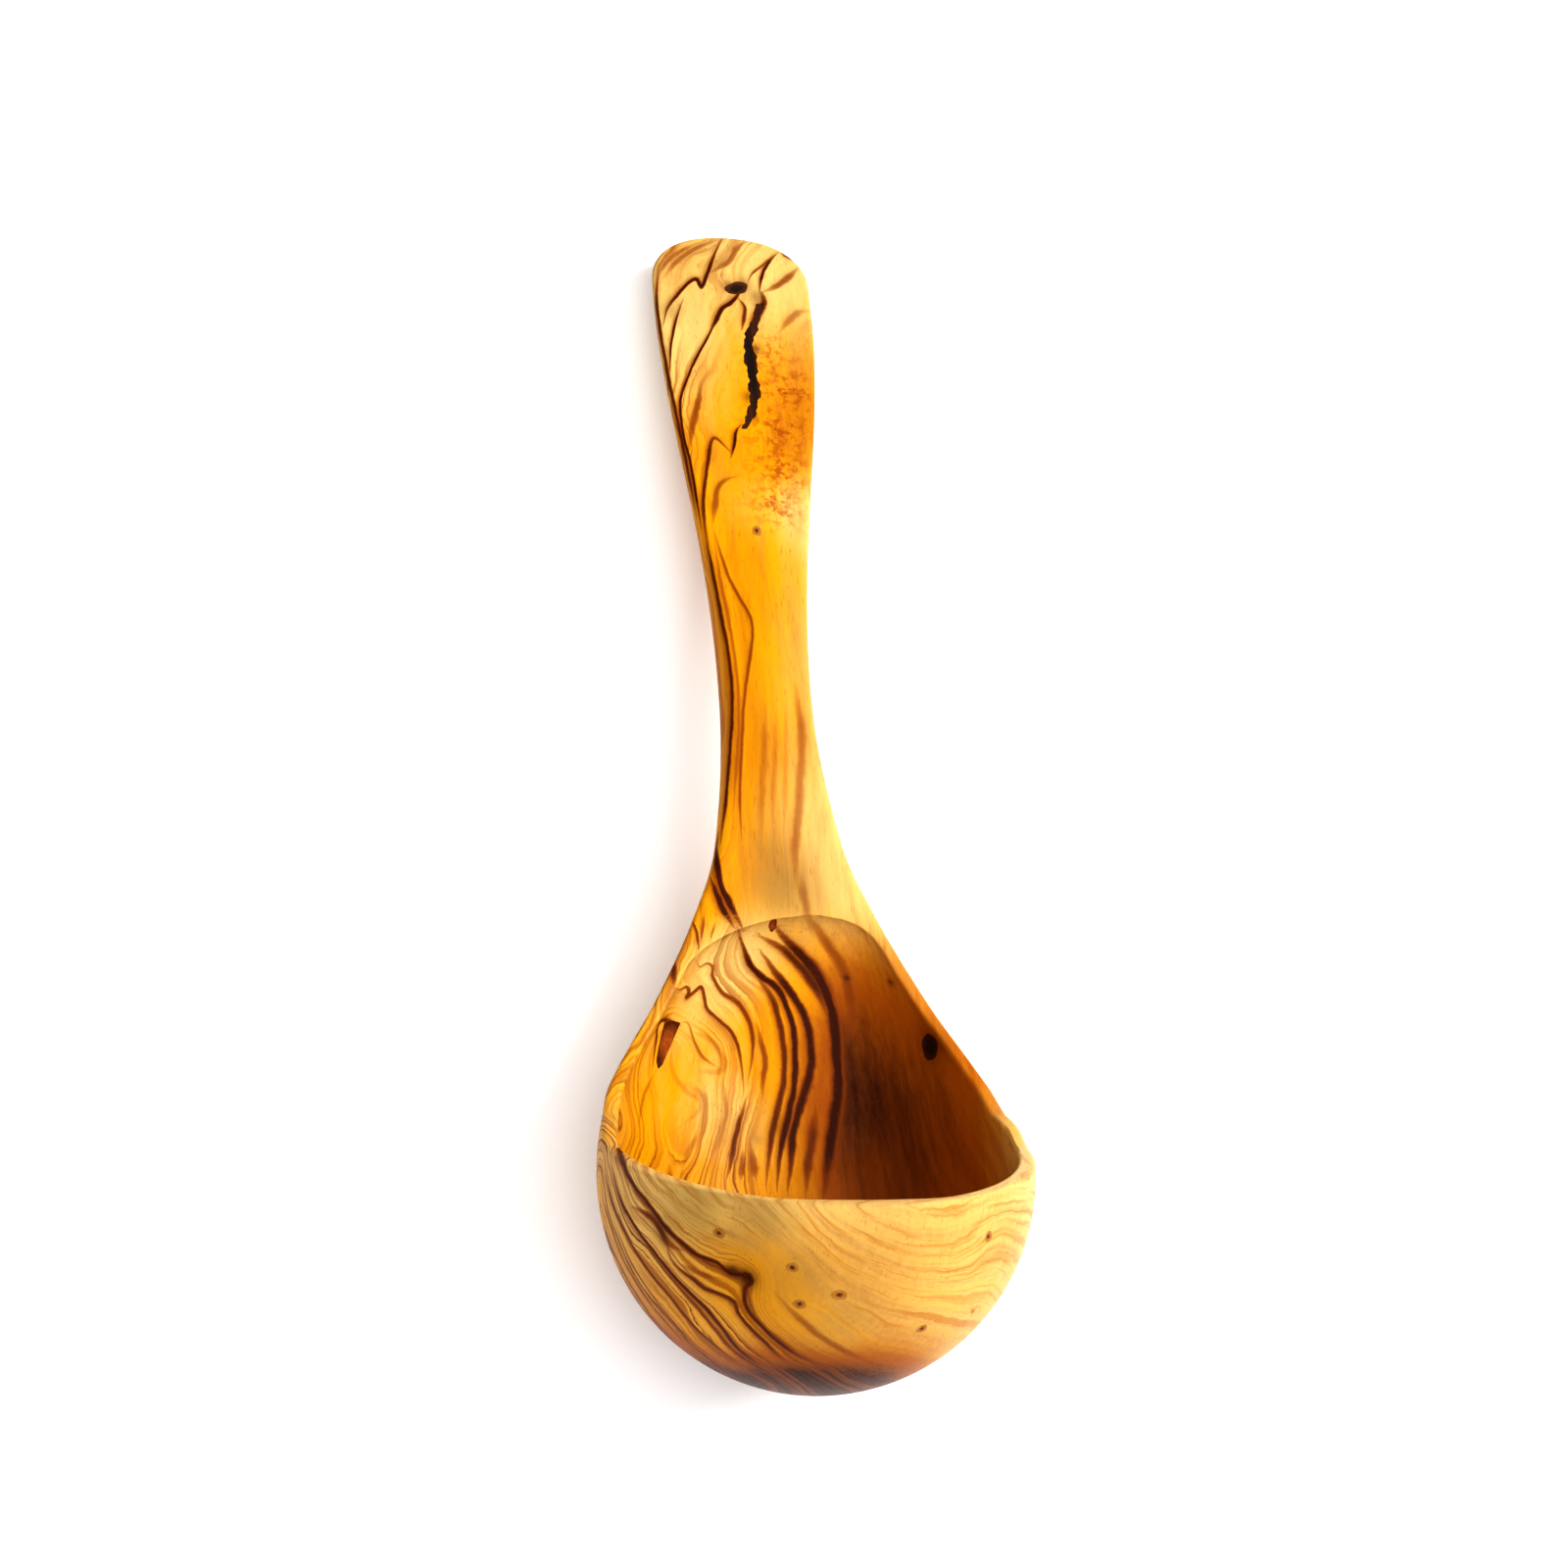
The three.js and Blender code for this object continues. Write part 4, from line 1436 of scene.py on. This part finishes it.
@dataclass(frozen=True)
class WoodFigure:
    """The figure of the wood: growth layers, dark veins and stains, painted on the body; its tones
    also hold painted highlights and shade.

    A vein tapers and fades towards its ends, and breaks off where it would jump across an edge.
    """

    view: ViewPoint
    fade: float = 3.2
    near_fade: float = 0.8
    taper: float = 9.0
    thin_end: float = 0.3
    faint_end: float = 0.4
    longest_jump: float = 7.0
    margin: float = 4.0
    least_facing: float = 0.25
    far_off: float = 99.0
    off_vein: float = 9.0
    softness: float = 6.0
    slack: float = 0.6
    batch: int = 8000

    def land(self, skin: BVHTree, pixel: Pixel) -> Union[Hit, None]:
        """Where a pixel falls on the wood, in millimetres, with the surface's direction."""
        spot, normal, _, _ = skin.ray_cast(self.view.stand(), self.view.ray(pixel))
        return None if spot is None else (np.array(spot) / MM, np.array(normal))

    def fields(self, anchors: np.ndarray, levels: np.ndarray, points: np.ndarray) -> np.ndarray:
        """Smooth fields through levels that are known at some places.

        Args:
            anchors: Places whose levels are known.
            levels: Their levels, a column for each field.
            points: Places to read the fields at.

        Returns:
            The levels at each of the points.
        """

        def kernel(a: np.ndarray, b: np.ndarray) -> np.ndarray:
            """Influence of each place of b on each place of a."""
            gap = a[:, None, :] - b[None, :, :]
            return -np.sqrt((gap * gap).sum(2) + self.softness**2)

        count = len(anchors)
        plane = np.concatenate([np.ones((count, 1)), anchors], 1)
        system = np.zeros((count + 4, count + 4))
        system[:count, :count] = kernel(anchors, anchors) + self.slack * np.eye(count)
        system[:count, count:] = plane
        system[count:, :count] = plane.T
        goal = np.concatenate([levels, np.zeros((4, levels.shape[1]))])
        weights = np.linalg.solve(system, goal)
        result = []
        for start in range(0, len(points), self.batch):
            part = points[start : start + self.batch]
            flat = np.concatenate([np.ones((len(part), 1)), part], 1) @ weights[count:]
            result.append(kernel(part, anchors) @ weights[:count] + flat)
        return np.concatenate(result)

    def trace(
        self, skin: BVHTree, vein: Vein, points: np.ndarray, normals: np.ndarray
    ) -> tuple[np.ndarray, np.ndarray, np.ndarray]:
        """Signed distance of the wood's vertices from one vein.

        Args:
            skin: The wood's surface.
            vein: The vein.
            points: Places of the vertices, in millimetres.
            normals: Their directions out of the wood.

        Returns:
            Numbers of the vertices near the vein, their distances from it, below zero on its
            left, and how full the vein is beside them, from 0 at its ends to 1.
        """
        hits = [hit for hit in (self.land(skin, pixel) for pixel in vein.smooth()) if hit]
        line = np.array([hit[0] for hit in hits])
        out = np.array([hit[1] for hit in hits])
        start, step, way = line[:-1], np.diff(line, axis=0), out[:-1]
        long = np.linalg.norm(step, axis=1)
        gone = np.concatenate([[0.0], np.cumsum(long)])
        kept = (long < self.longest_jump) & (long > 1e-6)
        start, step, way = start[kept], step[kept], way[kept]
        low, high = line.min(0) - self.margin, line.max(0) + self.margin
        near = np.nonzero(((points > low) & (points < high)).all(1))[0]
        gap = points[near][:, None, :] - start[None]
        share = np.clip((gap * step).sum(2) / (step * step).sum(1), 0, 1)
        off = gap - share[:, :, None] * step
        away = np.linalg.norm(off, axis=2)
        away[(normals[near] @ way.T) < self.least_facing] = self.far_off
        best = away.argmin(1)
        rows = np.arange(len(near))
        side = np.sign((np.cross(way, step)[best] * off[rows, best]).sum(1))
        reached = gone[:-1][kept][best] + share[rows, best] * long[kept][best]
        taper = min(self.taper, 0.3 * gone[-1])
        full = np.clip(np.minimum(reached, gone[-1] - reached) / taper, 0, 1)
        return near, away[rows, best] * side, full

    def layers(self, skin: BVHTree, points: np.ndarray) -> np.ndarray:
        """Growth layers and tones of the wood, whose tones also paint highlights and shade.

        Args:
            skin: The wood's surface.
            points: Places of the vertices, in millimetres.

        Returns:
            Level of the layer, paleness and brownness of each vertex.
        """
        known = [(p, (v.level,)) for v in VEINS if v.level is not None for p in v.points]
        toned = [(tone.pixel, (tone.pale, tone.brown)) for tone in TONES_AND_PAINTED_LIGHT]
        columns = []
        for marks in (known, toned):
            landed = [(self.land(skin, pixel), level) for pixel, level in marks]
            anchors = np.array([hit[0] for hit, _ in landed if hit])
            levels = np.array([level for hit, level in landed if hit], float)
            columns.append(self.fields(anchors, levels, points))
        figure = np.concatenate(columns, 1)
        # Darker heartwood with painted shade beyond a growth line.
        for heart in SHADED_HEARTS:
            gap = np.linalg.norm(points - self.land(skin, heart.pixel)[0], axis=1)
            beyond = np.clip((figure[:, 0] - heart.level) / heart.blur + 0.5, 0, 1)
            figure[:, 2] += heart.brown * beyond * np.exp(-((gap / heart.reach) ** 2))
        return figure

    def families(
        self, skin: BVHTree, points: np.ndarray, normals: np.ndarray
    ) -> list[np.ndarray]:
        """The veins, sorted into families whose members lie apart from each other.

        Args:
            skin: The wood's surface.
            points: Places of the vertices, in millimetres.
            normals: Their directions out of the wood.

        Returns:
            For each family a row per vertex: distance from the vein in half-widths, and its force.
        """
        families: list[np.ndarray] = []
        for vein in VEINS:
            near, away, full = self.trace(skin, vein, points, normals)
            reach = min(self.fade, self.near_fade + 4 * vein.half_width)
            inside = abs(away) < reach
            near, away, full = near[inside], away[inside], full[inside]
            family = next((f for f in families if not f[near, 1].any()), None)
            if family is None:
                family = np.tile((self.off_vein, 0.0, 0.0), (len(points), 1))
                families.append(family)
            family[near, 0] = away / (vein.half_width * mix(self.thin_end, 1.0, full))
            ease = smoothstep(1 - abs(away) / reach)
            family[near, 1] = vein.force * mix(self.faint_end, 1.0, full) * ease
        return families

    def stains(self, skin: BVHTree, points: np.ndarray, normals: np.ndarray) -> np.ndarray:
        """Stains and calm places of the wood.

        Args:
            skin: The wood's surface.
            points: Places of the vertices, in millimetres.
            normals: Their directions out of the wood.

        Returns:
            A row per vertex, with a column for each stain.
        """
        shades = np.zeros((len(points), len(Stain)))
        for stain, spots in SPOTS.items():
            column = shades[:, stain.value]
            for spot in spots:
                hit = self.land(skin, spot.pixel)
                if hit is None:
                    continue
                gap = np.linalg.norm(points - hit[0], axis=1)
                facing = np.clip(normals @ hit[1] * 2, 0, 1)
                shade = spot.force * facing * np.exp(-((gap / spot.reach) ** 2))
                np.maximum(column, shade, out=column)
        return shades

    def paint(self, body: bpy.types.Object, skin: BVHTree) -> int:
        """Paints layers, veins and stains on the body, with the painted highlights and shade in its
        tones.

        Args:
            body: The finished body.
            skin: Its surface before pockets were cut, for the pixels to fall on.

        Returns:
            Number of families the veins are painted in.
        """
        points = Bench.points(body) / MM
        normals = Bench.points(body, "normal")
        Bench.paint(body, "figure", self.layers(skin, points))
        families = self.families(skin, points, normals)
        for i, family in enumerate(families):
            Bench.paint(body, f"vein_{i}", family)
        Bench.paint(body, "stain", self.stains(skin, points, normals))
        LOG.info("figure painted from %d veins in %d families", len(VEINS), len(families))
        return len(families)


class Side(Enum):
    """Where on the ladle a growth sits."""

    FACE = "face"
    BOWL_OUTSIDE = "bowl outside"


class Shape(Enum):
    """Outlines that a growth may have on the surface."""

    OVAL = "oval"
    SHIELD = "shield"
    CRACK = "crack"

    @property
    def insets(self) -> tuple[float, ...]:
        """Shares of the width by which rings are set into the top."""
        return {Shape.OVAL: (0.12, 0.12), Shape.SHIELD: (0.03, 0.03), Shape.CRACK: (0.14,)}[self]


@dataclass(frozen=True)
class Inclusion:
    """A knot or bark seam that is grown into the wood, in its own pocket.

    The seam's line is in shares of its length, the shield's in shares of half its width and length.
    """

    node: str
    side: Side
    where: float
    aside: float
    shape: Shape
    width: float
    length: float
    growth: Growth
    depth: float = 2.4
    spin: float = 0.0
    corners: int = 48
    play: float = 0.06
    cut_height: float = 2.0
    draw_height: float = 3.0
    smooth_angle: float = 40.0
    seam_line: tuple[Pair, ...] = (
        (0.106, 0.506),
        (0.068, 0.371),
        (0.0, 0.206),
        (0.006, -0.024),
        (0.012, -0.212),
        (-0.024, -0.365),
        (-0.082, -0.488),
    )
    shield_line: tuple[Pair, ...] = (
        (-0.6, 1.0),
        (-1.0, -0.6),
        (-0.8, -1.0),
        (-0.4, -0.85),
        (0.3, -0.1),
        (1.0, 0.8),
        (0.2, 1.0),
    )

    def spot(self, form: LadleForm) -> Matrix:
        """Frame of the growth's place on the surface.

        Args:
            form: The carved form.

        Returns:
            X across the ladle, Y along its spine and Z out of the wood, from millimetres to metres.
        """
        outside = self.side is Side.BOWL_OUTSIDE

        def point(where: float, across: float) -> Vector:
            """A point of the surface.

            Args:
                where: Way up the handle, or angle.
                across: Place across the section.

            Returns:
                The point, in the carving's own frame.
            """
            section = form.bowl_section(where) if outside else form.handle_section(where)
            places = np.array([across])
            if outside:
                level = arc_depth(section.half_width, section.outer - section.rim, places)
            else:
                level = section.face_depth(places)
            return Vector(form.place(section, np.stack([places, level], 1))[0])

        further, beside = (0.002, 0.1) if outside else (0.1, 0.1)
        here = point(self.where, self.aside)
        spine = (point(self.where + further, self.aside) - here).normalized()
        across = (point(self.where, self.aside + beside) - here).normalized()
        out = across.cross(spine).normalized() * (-1 if outside else 1)
        across = spine.cross(out)
        basis = Matrix((across, spine, out)).transposed().to_4x4()
        turned = basis @ Matrix.Rotation(self.spin, 4, "Z")
        return form.lay_down() @ Matrix.Translation(here) @ turned

    def oval(self, grow: float) -> np.ndarray:
        """Points of a slightly knobby oval.

        Args:
            grow: How far the outline is pushed out.

        Returns:
            The points, one row each.
        """
        turn = np.linspace(0, 2 * math.pi, 240, endpoint=False)
        knobby = 1 + 0.05 * np.sin(3 * turn + self.where) + 0.03 * np.sin(5 * turn + self.aside)
        half, top = self.width / 2 + grow, self.length / 2 + grow
        return np.stack([half * knobby * np.cos(turn), top * knobby * np.sin(turn)], 1)

    def shield(self, grow: float) -> np.ndarray:
        """Corners of a shield that narrows to one side."""
        return np.array(self.shield_line) * (self.width / 2 + grow, self.length / 2 + grow)

    def crack(self, grow: float) -> np.ndarray:
        """Points down one side of a nibbled crack and up the other.

        Args:
            grow: How far the outline is pushed out.

        Returns:
            The points, one row each.
        """
        knots = np.array(self.seam_line) * self.length
        count = len(knots)
        way = np.linspace(0, count - 1, 90)
        middle = np.stack([np.interp(way, np.arange(count), knots[:, k]) for k in range(2)], 1)
        swell = np.sin(math.pi * (way + 0.7) / (count + 0.4))
        wide = self.width * (0.35 + 0.65 * swell) / 2
        nibbled = 0.16 * np.sin(5.3 * way) + 0.12 * np.sin(11.9 * way + 1)
        nibbled = nibbled + 0.1 * np.sin(23.1 * way)
        left, right = wide * (0.78 + nibbled) + grow, wide * (0.78 - nibbled[::-1]) + grow
        middle[[0, -1], 1] += (grow, -grow)
        down = middle - np.stack([left, 0 * left], 1)
        up = middle + np.stack([right, 0 * right], 1)
        return np.concatenate([down, up[::-1]])

    def border(self, grow: float) -> np.ndarray:
        """Outline of the growth on the surface.

        Args:
            grow: How far the outline is pushed out, for a pocket.

        Returns:
            The outline's points in millimetres, evenly spaced and turning to the left.
        """
        lines = {Shape.OVAL: self.oval, Shape.SHIELD: self.shield, Shape.CRACK: self.crack}
        line = lines[self.shape](grow)
        closed = np.concatenate([line, line[:1]])
        steps = np.linalg.norm(np.diff(closed, axis=0), axis=1)
        way = np.concatenate([[0], np.cumsum(steps)])
        even = np.arange(self.corners) / self.corners * way[-1]
        return np.stack([np.interp(even, way, closed[:, k]) for k in range(2)], 1)

    def plug(self, grow: float, top: float, name: str) -> bpy.types.Object:
        """Models a plug with the growth's outline, as a sheet drawn down into the wood.

        Args:
            grow: How far the outline is pushed out.
            top: Height of its top over the surface, in millimetres.
            name: Name of the piece.

        Returns:
            The plug, in the growth's own frame and in millimetres.
        """
        Bench.clear()
        bpy.ops.mesh.primitive_circle_add(
            vertices=self.corners, radius=self.width / 2, fill_type="NGON"
        )
        plug = bpy.context.object
        plug.name = plug.data.name = name
        line = self.border(grow)
        Bench.set_points(plug, np.column_stack([line, np.full(len(line), top)]))
        Bench.open(plug)
        bpy.ops.mesh.select_all(action="SELECT")
        narrow = min(self.width, self.length)
        for inset in self.shape.insets:
            bpy.ops.mesh.inset(thickness=inset * narrow, depth=0, use_even_offset=False)
        bpy.ops.mesh.poke()
        bpy.ops.mesh.select_all(action="SELECT")
        drop = (0.0, 0.0, -(top + self.depth + grow))
        bpy.ops.mesh.extrude_region_move(TRANSFORM_OT_translate={"value": drop})
        bpy.ops.mesh.select_all(action="SELECT")
        bpy.ops.mesh.normals_make_consistent(inside=False)
        bpy.ops.object.mode_set(mode="OBJECT")
        return plug

    def cutter(self, form: LadleForm) -> bpy.types.Object:
        """Models the tool that cuts the growth's pocket.

        Args:
            form: The carved form.

        Returns:
            The tool, in its place.
        """
        tool = self.plug(self.play, self.cut_height, f"{self.node}_pocket")
        tool.data.transform(self.spot(form))
        return tool

    def build(self, form: LadleForm, skin: BVHTree) -> bpy.types.Object:
        """Models the growth, with its top drawn onto the surface of the wood.

        Args:
            form: The carved form.
            skin: The wood's surface before its pockets were cut.

        Returns:
            The finished piece.
        """
        piece = self.plug(0.0, 0.0, f"{self.node}_growth")
        flat = Bench.points(piece)
        frame_here = self.spot(form)
        out = (frame_here.to_3x3() @ Vector((0, 0, 1))).normalized()
        reach = np.hypot(flat[:, 0] / (self.width / 2), flat[:, 1] / (self.length / 2))
        finish: GrownWood = self.growth.value
        placed = []
        for point, ring in zip(flat, reach):
            here = frame_here @ Vector(point)
            if point[2] > -1e-6:
                above = here + out * self.draw_height * MM
                hit = skin.ray_cast(above, -out, 2 * self.draw_height * MM)[0]
                sunk = finish.recess * (1 - 0.85 * min(ring, 1.0) ** 3)
                here = (hit or here) - out * sunk * MM
            placed.append(here)
        Bench.set_points(piece, np.array(placed))
        Bench.paint(piece, "ring", np.minimum(reach, 1.2))
        Bench.take(piece)
        bpy.ops.object.shade_smooth_by_angle(angle=math.radians(self.smooth_angle))
        piece.data.materials.clear()
        piece.data.materials.append(finish.dress())
        return piece


@dataclass(frozen=True)
class LadleBody:
    """The carved body, lofted finely over the form and cut for its growths."""

    form: LadleForm
    fan_rings: int = 128
    fan_power: float = 1.25
    back_rings: int = 54
    handle_rings: int = 150
    tail_rings: int = 20
    outer_points: int = 99
    inner_points: int = 99
    edge_points: int = 7
    land_points: int = 12
    lip_share: float = 0.006
    lip_rounding: float = 0.7
    trim_limit: float = 0.3
    edge_limit: float = 0.45
    lip_limit: float = 0.4
    smooth_angle: float = 42.0
    weld: float = 1e-7
    node: str = "ladle_body"
    slot: str = "olive_wood"

    def outline(self, section: Section) -> np.ndarray:
        """Closed outline of a section: back, rounded edge, land, rounded lip and face or hollow.

        Args:
            section: The section.

        Returns:
            Rows of side-ways place and depth below the rim.
        """
        half_width, half = section.half_width, section.half_hollow
        depth = section.outer - section.rim
        brink = self.lip_rounding * self.form.rim_edge
        back_trim = 1 - min(self.trim_limit, section.edge / math.hypot(half_width, depth))
        lip_trim = 1 - min(self.trim_limit, brink / math.hypot(half, section.hollow))
        turn = min(section.edge, self.edge_limit * section.land)
        lip = min(brink, self.lip_limit * section.land)
        back = arc_points(half_width, depth, back_trim * np.linspace(-1, 1, self.outer_points))
        face = section.face_points(lip_trim * np.linspace(1, -1, self.inner_points))
        outer = np.array([half_width, 0.0])
        edge = rounding(back[-1], outer, outer - (turn, 0), self.edge_points)
        sides = []
        for sign, end in ((1, face[0]), (-1, face[-1])):
            inner = np.array([section.shift + sign * half, 0.0])
            brim = rounding(inner + (sign * lip, 0), inner, end, self.edge_points)
            flat = np.linspace(edge[-1] * (sign, 1), brim[0], self.land_points + 2)[1:-1]
            sides.append(np.concatenate([edge * (sign, 1), flat, brim]))
        return np.concatenate([back, sides[0], face, sides[1][::-1]])

    def sections(self) -> list[Section]:
        """All sections from the front lip under the bowl and up the handle to the tail.

        Returns:
            The sections, in order.
        """
        form = self.form
        turned = form.last_angle - form.first_angle
        fan = np.linspace(self.lip_share, 1, self.fan_rings, endpoint=False) ** self.fan_power
        back = np.linspace(0, form.apex, self.back_rings, endpoint=False)
        handle = np.linspace(form.apex, form.tail_start, self.handle_rings, endpoint=False)
        quarter = np.linspace(0, math.pi / 2, self.tail_rings, endpoint=False)
        tail = form.tail_start + form.tail_rounding * np.sin(quarter)
        bowl = [form.bowl_section(form.first_angle + turned * share) for share in fan]
        return [*bowl, *[form.handle_section(way) for way in np.concatenate([back, handle, tail])]]

    def loft(self) -> bpy.types.Object:
        """Models the body from a grid whose rows become the sections.

        Returns:
            The closed body, flattened where it rests.
        """
        form = self.form
        rings = [form.place(section, self.outline(section)) for section in self.sections()]
        count, rows = len(rings[0]), len(rings)
        Bench.clear()
        bpy.ops.mesh.primitive_grid_add(x_subdivisions=count, y_subdivisions=rows - 1, size=2)
        body = bpy.context.object
        body.name = body.data.name = "carved_body"
        grid = Bench.points(body)
        column = np.rint((grid[:, 0] + 1) / 2 * count).astype(int) % count
        row = np.rint((grid[:, 1] + 1) / 2 * (rows - 1)).astype(int)
        placed = np.array(rings)[row, column]
        whole = np.column_stack([placed, np.ones(len(placed))]) @ np.array(form.lay_down()).T
        Bench.set_points(body, whole[:, :3])
        Bench.open(body, "EDGE")
        bpy.ops.mesh.select_all(action="SELECT")
        bpy.ops.mesh.remove_doubles(threshold=self.weld)
        bpy.ops.mesh.select_all(action="SELECT")
        bpy.ops.mesh.fill_holes(sides=0)
        bpy.ops.mesh.select_mode(type="FACE")
        bpy.ops.mesh.select_all(action="DESELECT")
        bpy.ops.mesh.select_face_by_sides(number=4, type="GREATER")
        bpy.ops.mesh.poke()
        bpy.ops.mesh.select_all(action="SELECT")
        bpy.ops.mesh.normals_make_consistent(inside=False)
        table = {"plane_co": (0, 0, 0), "plane_no": (0, 0, 1)}
        bpy.ops.mesh.bisect(use_fill=True, clear_inner=True, threshold=self.weld, **table)
        bpy.ops.object.mode_set(mode="OBJECT")
        return body

    def build(
        self, inclusions: Sequence[Inclusion], figure: WoodFigure
    ) -> tuple[bpy.types.Object, BVHTree]:
        """Models the body with its pockets and paints the figure of the wood on it.

        Args:
            inclusions: The growths that need pockets.
            figure: The figure of the wood.

        Returns:
            The body, and its surface before the pockets were cut.
        """
        body = self.loft()
        faces = [tuple(face.vertices) for face in body.data.polygons]
        skin = BVHTree.FromPolygons([v.co.copy() for v in body.data.vertices], faces)
        tools = [inclusion.cutter(self.form) for inclusion in inclusions]
        Bench.take(*tools)
        bpy.ops.object.join()
        Bench.apply(body, "BOOLEAN", object=tools[0], operation="DIFFERENCE", solver="EXACT")
        bpy.data.objects.remove(tools[0])
        Bench.take(body)
        bpy.ops.object.shade_smooth_by_angle(angle=math.radians(self.smooth_angle))
        families = figure.paint(body, skin)
        body.data.materials.clear()
        body.data.materials.append(OliveWood().dress(families))
        return body, skin


@dataclass(frozen=True)
class PaleFloor:
    """A plain pale table top."""

    reach: float = 8.0
    glow: float = 0.09
    colour: Colour = (0.9, 0.9, 0.9, 1.0)
    speck: Colour = (0.86, 0.85, 0.83, 1.0)

    def build(self) -> None:
        """Lays the floor under the ladle."""
        Bench.clear()
        bpy.ops.mesh.primitive_plane_add(size=self.reach)
        floor = bpy.context.object
        floor.name = "pale_floor"
        shader = Shader("pale_floor")
        specks = shader.noise(shader.place(), 30.0, 2.0)
        tint = shader.blend(specks * 0.03, self.colour, self.speck)
        glow = {"Emission_Color": tint, "Emission_Strength": self.glow}
        floor.data.materials.append(shader.surface(Base_Color=tint, Roughness=0.7, **glow))


@dataclass(frozen=True)
class SoftBox:
    """A soft studio lamp that hangs round the ladle."""

    azimuth: float
    elevation: float
    distance: float
    size: float
    power: float
    colour: tuple[float, float, float] = (1.0, 1.0, 1.0)
    aim: tuple[float, float, float] = (0.0, 0.06, 0.03)

    def hang(self, name: str) -> None:
        """Hangs the lamp so that it faces the ladle.

        Args:
            name: Name of the lamp.
        """
        a, e = math.radians(self.azimuth), math.radians(self.elevation)
        away = Vector((math.sin(a) * math.cos(e), -math.cos(a) * math.cos(e), math.sin(e)))
        Bench.clear()
        bpy.ops.object.light_add(type="AREA", location=Vector(self.aim) + away * self.distance)
        lamp = bpy.context.object
        lamp.name = name
        lamp.rotation_mode = "QUATERNION"
        lamp.rotation_quaternion = away.to_track_quat("Z", "Y")
        lamp.data.shape = "DISK"
        lamp.data.size = self.size
        lamp.data.energy = self.power
        lamp.data.color = self.colour


@dataclass(frozen=True)
class Studio:
    """The studio: a pale floor, a bright key lamp from the right and a soft one from the front."""

    view: ViewPoint
    key: SoftBox = SoftBox(100.0, 48.0, 1.2, 0.7, 16.0, (1.0, 0.985, 0.96))
    fill: SoftBox = SoftBox(-20.0, 71.0, 1.4, 1.6, 15.5)
    surround: float = 0.25

    def set_up(self) -> None:
        """Lays the floor, hangs the lamps and puts up the camera."""
        PaleFloor().build()
        self.key.hang("key_softbox")
        self.fill.hang("fill_softbox")
        world = bpy.data.worlds.new("studio")
        world.use_nodes = True
        sky = world.node_tree.nodes["Background"]
        sky.inputs["Color"].default_value = (1.0, 1.0, 1.0, 1.0)
        sky.inputs["Strength"].default_value = self.surround
        scene = bpy.context.scene
        scene.world = world
        scene.view_settings.view_transform = "Standard"
        scene.view_settings.look = "High Contrast"
        self.view.set_up()


@dataclass(frozen=True)
class GrowthPlan:
    """Where the knots and seams sit; a size is width and length, a share is of the bowl radius."""

    seam_from_tip: float = 35.7
    seam_aside: float = 2.2
    seam_size: Pair = (3.0, 34.0)
    seam_corners: int = 160
    head_from_tip: float = 14.4
    head_aside: float = 0.8
    head_size: Pair = (5.4, 3.2)
    head_spin: float = 0.3
    spike_shares: Pair = (0.468, -0.575)
    spike_size: Pair = (7.4, 9.6)
    round_shares: Pair = (0.42, 0.68)
    round_size: Pair = (4.2, 6.0)
    rim_from_apex: float = 1.6
    rim_aside: float = -2.7
    rim_size: Pair = (1.6, 3.2)
    pin_depth: float = 2.0
    handle_pin_from_tip: float = 78.8
    handle_pin_size: Pair = (1.8, 2.4)
    # Degrees from the front, share to the side, and size.
    bowl_pins: tuple[tuple[float, float, Pair], ...] = (
        (31.7, -0.615, (2.4, 1.8)),
        (33.6, -0.312, (2.2, 1.8)),
        (41.9, -0.264, (2.4, 2.0)),
        (38.3, -0.098, (3.0, 2.0)),
        (50.0, 0.323, (2.2, 2.0)),
        (32.9, 0.61, (2.0, 2.2)),
    )

    def inclusions(self, form: LadleForm) -> list[Inclusion]:
        """All growths, each with the name of its node.

        Args:
            form: The carved form that carries them.

        Returns:
            The growths in the part's order.
        """
        face, radius, tip = Side.FACE, form.bowl_radius, form.handle_end
        seam = (tip - self.seam_from_tip, self.seam_aside, Shape.CRACK, *self.seam_size)
        head = (tip - self.head_from_tip, self.head_aside, Shape.OVAL, *self.head_size)
        spike = (*(s * radius for s in self.spike_shares), Shape.SHIELD, *self.spike_size)
        dead = (*(s * radius for s in self.round_shares), Shape.OVAL, *self.round_size)
        rim = (form.apex - self.rim_from_apex, self.rim_aside, Shape.OVAL, *self.rim_size)
        pin = (tip - self.handle_pin_from_tip, 0.0, Shape.OVAL, *self.handle_pin_size)
        made = [
            Inclusion("bark_seam", face, *seam, Growth.BARK, corners=self.seam_corners),
            Inclusion("head_knot", face, *head, Growth.HEAD, spin=self.head_spin),
            Inclusion("spike_knot", face, *spike, Growth.SPIKE),
            Inclusion("round_knot", face, *dead, Growth.ROUND),
            Inclusion("rim_knot", face, *rim, Growth.RIM, self.pin_depth),
        ]
        for i, (degrees, share, size) in enumerate(self.bowl_pins, 1):
            spot = (math.radians(degrees), share * radius, Shape.OVAL, *size)
            node = f"pin_knot_{i}"
            made.append(Inclusion(node, Side.BOWL_OUTSIDE, *spot, Growth.PIN, self.pin_depth))
        last = f"pin_knot_{len(self.bowl_pins) + 1}"
        return [*made, Inclusion(last, face, *pin, Growth.PIN, self.pin_depth)]


def main() -> None:
    """Builds the ladle's pieces, dresses them and sets up the studio."""
    logging.basicConfig(level=logging.INFO, format="%(name)s: %(message)s")
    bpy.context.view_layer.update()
    view = ViewPoint()
    form = LadleForm()
    inclusions = GrowthPlan().inclusions(form)
    ladle = LadleBody(form)
    body, skin = ladle.build(inclusions, WoodFigure(view))
    Bench.hand_over(body, ladle.node, ladle.slot)
    for inclusion in inclusions:
        piece = inclusion.build(form, skin)
        Bench.hand_over(piece, inclusion.node, inclusion.growth.value.slot)
    Studio(view).set_up()


if __name__ == "__main__":
    main()
